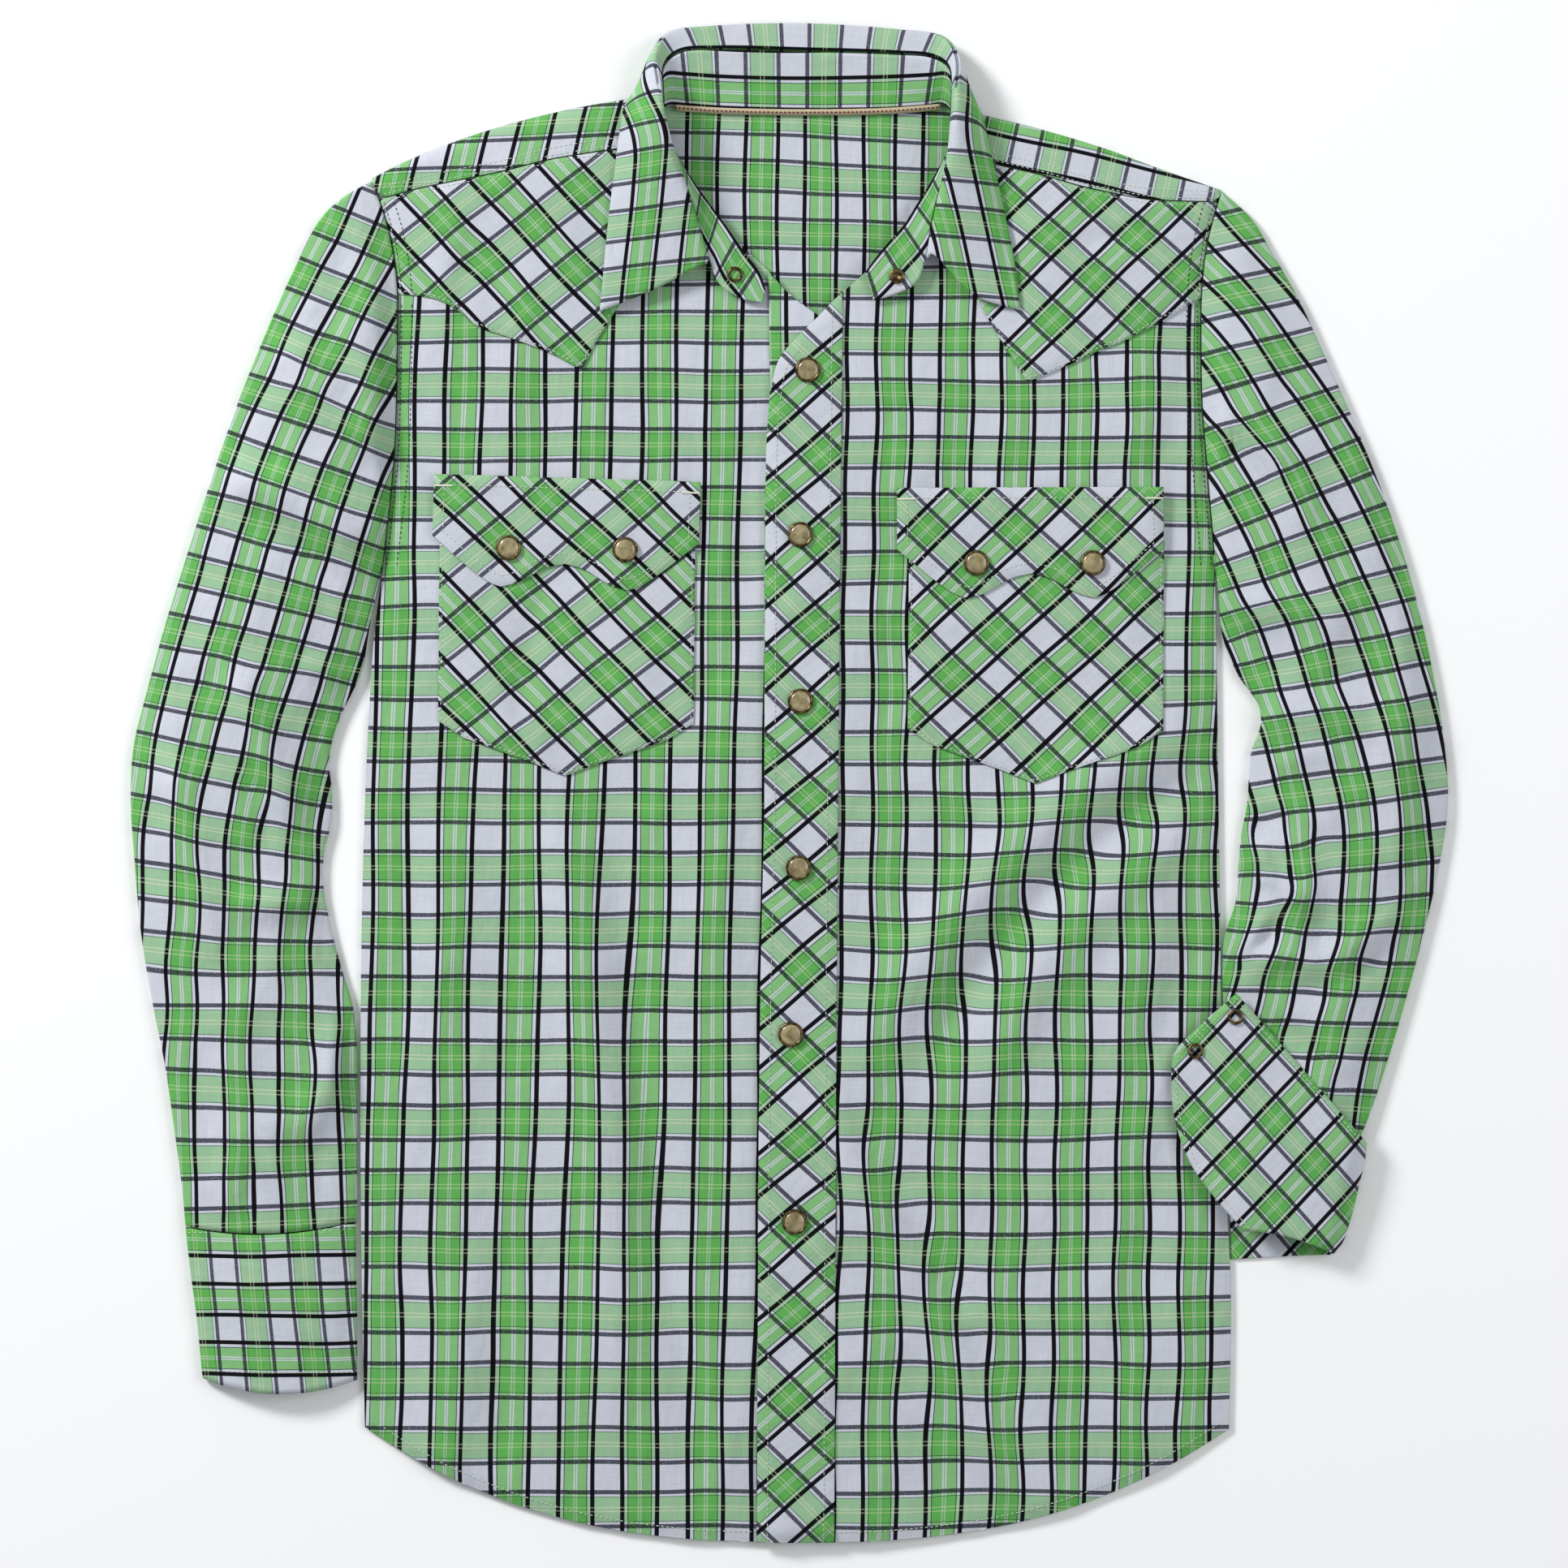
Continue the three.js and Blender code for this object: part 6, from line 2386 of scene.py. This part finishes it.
def turned(profile: Sequence[Point], sides: int) -> tuple[np.ndarray, list[tuple[int, ...]]]:
    """Turn a closed profile about the Z axis.

    Args:
        profile: Radius and height of its points; those on the axis have radius 0.
        sides: How many sides the shape has.

    Returns:
        Its points and faces.
    """
    points, faces, rings = [], [], []
    for radius, height in profile:
        if radius == 0:
            rings.append([len(points)] * sides)
            points.append((0.0, 0.0, height))
        else:
            rings.append(list(range(len(points), len(points) + sides)))
            for k in range(sides):
                a = 2 * math.pi * k / sides
                points.append((radius * math.cos(a), radius * math.sin(a), height))
    for low, high in zip(rings, rings[1:]):
        for k in range(sides):
            ring = [low[k], low[(k + 1) % sides], high[(k + 1) % sides], high[k]]
            face = tuple(dict.fromkeys(ring))
            if len(face) > 2:
                faces.append(face)
    return np.array(points), faces


@dataclass
class SnapCaps:
    """Ten snap caps: a marbled pearl in a dark metal rim.

    Attributes:
        rim: Profile of the rim.
        pearl: Profile of the pearl.
        seat: Radius of the ring by which a cap rests on the cloth.
    """

    rim: tuple[Point, ...] = (
        (5.0, 0.2), (6.5, 0.0), (6.75, 0.5), (6.7, 1.3), (6.35, 1.9), (5.9, 2.15), (5.45, 2.05), (5.25, 1.7),
        (5.0, 1.4), (5.0, 0.2),
    )
    pearl: tuple[Point, ...] = (
        (0, 0.3), (5.2, 0.3), (5.55, 1.0), (5.4, 1.75), (4.9, 2.15), (4.0, 2.45), (2.8, 2.65), (1.4, 2.76), (0, 2.8),
    )
    seat: float = 6.5

    def build(
        self, metal: bpy.types.Material, pearl: bpy.types.Material, on: dict[str, Cloth]
    ) -> list[bpy.types.Object]:
        """Set the caps on the placket and the flaps.

        Args:
            metal: Finish of the rims.
            pearl: Finish of the pearls.
            on: The finished pieces of cloth by name.

        Returns:
            The rims and the pearls.
        """
        spots = []
        for carrier, places in (
            ("placket", PLACKET_SNAPS),
            ("flap_left", FLAP_SNAPS[Direction.LEFT]),
            ("flap_right", FLAP_SNAPS[Direction.RIGHT]),
        ):
            for x, y in places:
                ring = [(x + self.seat * math.cos(a), y + self.seat * math.sin(a)) for a in np.linspace(0, 6.28, 13)]
                spots.append((x, y, max(float(run[:, 2].max()) for run in on[carrier].drop(np.array(ring), 0.0))))
        mesh = bpy.data.meshes.new("snap_spots")
        mesh.from_pydata(((np.array(spots) - MIDDLE) * MM).tolist(), [], [])
        nodes = [f"snap_{i}" for i in range(1, 7)]
        nodes += [f"flap_snap_{side}_{i}" for side in ("left", "right") for i in (1, 2)]
        pieces = []
        for name, profile, finish, slot in (
            ("snap_rims", self.rim, metal, "snap_metal"),
            ("snap_pearls", self.pearl, pearl, "snap_cap"),
        ):
            points, faces = turned(profile, 48)
            shape = mesh_object(f"{name}_shape", points + MIDDLE, faces, finish)
            piece = fitting_tree(shape, finish).run(name, mesh.copy(), {"Scale": 1.0})
            bpy.data.objects.remove(shape)
            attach(piece, "root")
            pieces.append(piece)
        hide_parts(*nodes)
        return pieces


@dataclass
class Fitting:
    """A bare half of a snap: an open eyelet or a socket.

    Attributes:
        name: Name of the solid it stands for.
        profile: Its profile.
    """

    name: str
    profile: tuple[Point, ...]

    def build(self, metal: bpy.types.Material) -> bpy.types.Object:
        """Set it where its solid is.

        Args:
            metal: Its finish.

        Returns:
            The fitting.
        """
        low, high = (np.array(corner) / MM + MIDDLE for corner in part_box(self.name))
        centre = np.array([(low[0] + high[0]) / 2, (low[1] + high[1]) / 2, low[2] - 0.25])
        points, faces = turned(self.profile, 40)
        piece = mesh_object(f"{self.name}_ring", points + centre, faces, metal)
        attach(piece, "root")
        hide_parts(self.name)
        return piece


EYELET = (
    (2.5, 0.1), (4.0, 0.1), (4.2, 0.4), (4.1, 0.8), (3.7, 1.12), (3.2, 1.15), (2.75, 0.85), (2.5, 0.5), (2.5, 0.1),
)
SOCKET = (
    (0, 0.2), (4.0, 0.2), (4.1, 0.6), (3.9, 1.15), (3.3, 1.4), (2.5, 1.4), (1.9, 1.2), (1.7, 0.5), (0, 0.45),
)


class Seam(NamedTuple):
    """A kind of stitch: its name, its thread, and the pitch, length and thickness of its stitches in metres."""

    name: str
    finish: str
    colour: tuple[float, float, float]
    pitch: float = 0.0027
    length: float = 0.0019
    thread: float = 0.00027


THREADS = (
    Seam("plain", "plain", (0.80, 0.86, 0.78)),
    Seam("dark", "dark", (0.12, 0.13, 0.14)),
    Seam("chain", "black", (0.05, 0.05, 0.06), 0.0022, 0.0015, 0.0006),
    Seam("red", "red", (0.42, 0.12, 0.12), 0.0022, 0.0015, 0.0006),
    Seam("bartack", "cream", (0.93, 0.92, 0.84), 0.0006, 0.0011, 0.0006),
)


class Sewing:
    """All visible stitches, one mesh for each thread."""

    def __init__(self) -> None:
        """Start with no stitches."""
        self.runs: dict[str, list[np.ndarray]] = {}

    def sew(
        self, cloth: Cloth, path: Sequence[Point], thread: str, inset_by: float = 0.0, closed: bool = False
    ) -> None:
        """Lay a line of stitches on a piece.

        Args:
            cloth: The piece.
            path: The line.
            thread: Name of the thread.
            inset_by: How far to the left of the line it is sewn.
            closed: Whether the line is a ring.
        """
        line = inset(path, inset_by, closed) if inset_by else np.asarray(path, float)
        if closed:
            line = np.vstack([line, line[:1]])
        self.runs.setdefault(thread, []).extend(cloth.drop(dense(line)))

    def build(self, finishes: dict[str, bpy.types.Material]) -> list[bpy.types.Object]:
        """Make the stitches.

        Args:
            finishes: The threads by name.

        Returns:
            One object for each thread.
        """
        pieces = []
        for name, runs in self.runs.items():
            points = np.vstack(runs)
            edges, start = [], 0
            for run in runs:
                edges += [(start + i, start + i + 1) for i in range(len(run) - 1)]
                start += len(run)
            mesh = bpy.data.meshes.new(f"seams_{name}")
            mesh.from_pydata(((points - MIDDLE) * MM).tolist(), edges, [])
            kind = next(row for row in THREADS if row.name == name)
            sizes = {"Pitch": kind.pitch, "Length": kind.length, "Thread": kind.thread}
            piece = stitch_tree(finishes[name]).run(f"stitches_{name}", mesh, sizes)
            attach(piece, "root")
            pieces.append(piece)
        return pieces


class Lamp(NamedTuple):
    """A soft square light: its name, its place, its side in metres and its power in watts."""

    name: str
    place: tuple[float, float, float]
    size: float
    power: float


@dataclass
class Studio:
    """The floor, the lights and the camera.

    Attributes:
        reach: Half the width that the camera sees.
        distance: Its height above the floor in metres.
        centre: The point that it looks down on.
        floor_colour: Screen colour of the floor.
        floor_reach: Half the floor's side in metres.
        floor_height: Its height in metres.
        lamps: The lights.
        sky: Colour of the light all round.
        sky_strength: Its strength.
    """

    reach: float = 415.4
    distance: float = 3.0
    centre: Point = (-2.8, -0.7)
    floor_colour: tuple[float, float, float] = (0.97, 0.97, 0.975)
    floor_reach: float = 6.0
    floor_height: float = -0.0006
    lamps: tuple[Lamp, ...] = (Lamp("key", (-2.3, 1.9, 1.75), 0.8, 107.0), Lamp("fill", (2.2, 0.4, 2.0), 1.6, 26.0))
    sky: tuple[float, float, float, float] = (0.96, 0.98, 1.0, 1.0)
    sky_strength: float = 0.42

    def floor(self) -> None:
        """Lay the plain pale floor."""
        mesh = bpy.data.meshes.new("floor")
        r, z = self.floor_reach, self.floor_height
        mesh.from_pydata([(-r, -r, z), (r, -r, z), (r, r, z), (-r, r, z)], [], [(0, 1, 2, 3)])
        mesh.materials.append(PlainSurface("pale_floor", self.floor_colour).make())
        piece = bpy.data.objects.new("floor", mesh)
        bpy.context.scene.collection.objects.link(piece)

    @staticmethod
    def light(lamp: Lamp) -> None:
        """Hang a light so that it faces the shirt.

        Args:
            lamp: The light.
        """
        data = bpy.data.lights.new(lamp.name, "AREA")
        data.shape = "SQUARE"
        data.size = lamp.size
        data.energy = lamp.power
        hung = bpy.data.objects.new(lamp.name, data)
        hung.location = lamp.place
        hung.rotation_euler = (-Vector(lamp.place)).to_track_quat("-Z", "Y").to_euler()
        bpy.context.scene.collection.objects.link(hung)

    def build(self) -> None:
        """Set up the floor, the lights, the sky and the camera."""
        self.floor()
        for lamp in self.lamps:
            self.light(lamp)
        world = bpy.data.worlds.new("studio")
        world.use_nodes = True
        background = world.node_tree.nodes["Background"]
        background.inputs["Color"].default_value = self.sky
        background.inputs["Strength"].default_value = self.sky_strength
        scene = bpy.context.scene
        scene.world = world
        scene.view_settings.view_transform = "Standard"
        scene.view_settings.look = "None"
        data = bpy.data.cameras.new("camera")
        data.angle = 2 * math.atan(self.reach / (self.distance / MM))
        camera = bpy.data.objects.new("camera", data)
        camera.location = (self.centre[0] * MM, self.centre[1] * MM, self.distance)
        scene.collection.objects.link(camera)
        scene.camera = camera


@dataclass
class Shirt:
    """The whole shirt, built in the order in which it is sewn.

    Attributes:
        cloth: The finished pieces of cloth by name.
        outlines: The edges of the panels by name.
    """

    cloth: dict[str, Cloth] = field(default_factory=dict)
    outlines: dict[str, list[Point]] = field(default_factory=dict)

    def keep(self, made: Sequence[Cloth]) -> None:
        """Keep finished pieces of cloth by name and report them."""
        for piece in made:
            self.cloth[piece.name] = piece
            LOG.info("%s: %d faces, %.4f m2", piece.name, len(piece.object.data.polygons), piece.area())

    def build_cloth(self, material: bpy.types.Material) -> None:
        """Make every piece of cloth.

        Args:
            material: The cloth.
        """
        self.keep(Back().build(material))
        panels = Fronts().panels() + FrontYokes().panels()
        for pocket in POCKETS:
            panels += pocket.panels()
        for panel in panels:
            self.outlines[panel.name] = list(panel.outline)
            self.keep([panel.build(material)])
        self.keep([tube.build(material) for tube in sleeves()])
        self.keep([TurnedCuff().build(material)])
        self.keep(Collar().build(material))
        self.keep([NeckTape().build(Thread("neck_tape_cotton", (0.80, 0.73, 0.60)).make())])

    def sew(self, finishes: dict[str, bpy.types.Material]) -> list[bpy.types.Object]:
        """Sew every visible seam.

        Args:
            finishes: The threads by name.

        Returns:
            The stitches.
        """
        sewing = Sewing()
        self.sew_placket(sewing)
        self.sew_pockets(sewing)
        self.sew_yokes(sewing)
        self.sew_edges(sewing)
        return sewing.build(finishes)

    def sew_placket(self, sewing: Sewing) -> None:
        """Sew the two long edges of the placket."""
        left = [*spline(Fronts().placket_left), (-13, -13), (-15, -99), (-16, -185), (-17, -398)]
        right = [(24, -398), (25, -142), (26, -13), (27.5, 159), (28.5, 251)]
        for edge in (left, right):
            sewing.sew(self.cloth["placket"], edge, "plain", 5.6)

    def sew_pockets(self, sewing: Sewing) -> None:
        """Sew the patches and their flaps, with a bartack at each corner of a flap."""
        for pocket in POCKETS:
            side = pocket.side.value
            patch, flap = self.cloth[f"pocket_{side}"], self.cloth[f"flap_{side}"]
            sewing.sew(patch, pocket.pocket_outline(), "plain", 1.5)
            sewing.sew(flap, pocket.flap_outline(), "plain", 5.6, True)
            h = pocket.flap_half
            for x in (-h + 0.5, h - 9.5):
                tack = placed([(x, -6.0), (x + 9, -6.0)], pocket.flap_centre, pocket.flap_turn)
                sewing.sew(flap, tack, "bartack")

    def sew_yokes(self, sewing: Sewing) -> None:
        """Sew the pointed edges of the yokes, the shoulder seams and the armholes."""
        for side in Direction:
            yoke = self.cloth[f"front_yoke_{side.value}"]
            sewing.sew(yoke, self.outlines[yoke.name], "plain", -1.5 if side is Direction.LEFT else 1.5, True)
            seam = spline(moved((YOKE_SEAM_LEFT if side is Direction.LEFT else YOKE_SEAM_RIGHT), 0, 1.8))
            for rise in (0.0, 4.0):
                sewing.sew(self.cloth["back_yoke"], moved(seam, 0, rise), "plain")
            sign = 1 if side is Direction.LEFT else -1
            hole = BODY.side_run(side, 118, 308)
            for distance in (2.0, 7.5):
                run = [(x + sign * distance, y) for x, y in hole]
                low = [p for p in run if p[1] < 256]
                sewing.sew(self.cloth[f"front_{side.value}"], low, "dark")
                sewing.sew(yoke, [p for p in run if p[1] > 262], "dark")

    def sew_edges(self, sewing: Sewing) -> None:
        """Sew the hem, the cuffs and the collar."""
        left, right = BODY.hem_run(SIDES[0].left + 3, -18), BODY.hem_run(27, SIDES[0].right - 3)
        sewing.sew(self.cloth["front_left"], left, "plain", 5.5)
        sewing.sew(self.cloth["front_right"], right, "plain", 5.5)
        sewing.sew(self.cloth["cuff_left"], [(-317, -236), (-232, -234)], "plain")
        sewing.sew(self.cloth["cuff_left"], [(-309, -309), (-231, -310)], "plain", 0.1)
        cuff = self.cloth["cuff_right"]
        edge = [TURNED_CUFF[0].first, TURNED_CUFF[0].second]
        sewing.sew(cuff, edge, "plain", -2.2)
        open_end = spline([row.first for row in TURNED_CUFF])
        sewing.sew(cuff, open_end, "plain", 3.0)
        leaf = [row.edge for row in COLLAR if row.edge is not None]
        for side in (leaf[:8], leaf[-8:]):
            sewing.sew(self.cloth["collar_leaf"], spline([p[:2] for p in side]), "plain", -3.5)
        tape = [p[:2] for p in smooth_path(NeckTape().line, 30)]
        sewing.sew(self.cloth["collar_stand"], moved(tape, 0, 4.2), "chain")
        sewing.sew(self.cloth["neck_tape"], moved(tape, 0, 1.5), "red")
        sewing.sew(self.cloth["collar_stand"], [(x, 387.0) for x in np.linspace(-55, 76, 30)], "plain")


@dataclass
class NeckTape:
    """The narrow beige tape over the seam inside the back of the neck.

    Attributes:
        width: Its width.
        line: Its lower edge.
    """

    width: float = 3.0
    line: tuple[tuple[float, float, float], ...] = (
        (-60, 357.6, 3.1), (-36, 356.0, 2.7), (9, 355.2, 2.6), (54, 356.0, 2.7), (80, 358.0, 3.1),
    )

    def build(self, material: bpy.types.Material) -> Cloth:
        """Make the tape.

        Args:
            material: Its finish.

        Returns:
            The tape.
        """
        path = smooth_path(self.line, 60)
        rows = np.stack([path + [0, t * self.width, t * 1.5] for t in (0, 0.5, 1)], axis=1)
        points = rows.reshape(-1, 3)
        layer = facing_up(Layer(points, grid_faces(61, 3), points[:, :2] / REPEAT), 91)
        return Cloth("neck_tape", layer, material, 0.5)


def main() -> None:
    """Build the shirt piece by piece, then the studio."""
    logging.basicConfig(level=logging.INFO, format="%(name)s: %(message)s")
    cotton = PlaidCotton().make()
    brass = AgedBrass().make()
    shirt = Shirt()
    shirt.build_cloth(cotton)
    finishes = {row.name: Thread(f"thread_{row.finish}", row.colour).make() for row in THREADS}
    for piece in (*shirt.sew(finishes), *SnapCaps().build(brass, MarbledPearl().make(), shirt.cloth)):
        LOG.info("%s: %d faces", piece.name, len(piece.data.polygons))
    for name, profile in (
        ("collar_eyelet", EYELET), ("collar_socket", SOCKET), ("cuff_eyelet_1", EYELET), ("cuff_eyelet_2", EYELET),
    ):
        LOG.info("fitting: %s", Fitting(name, profile).build(brass).name)
    Studio().build()


if __name__ == "__main__":
    main()
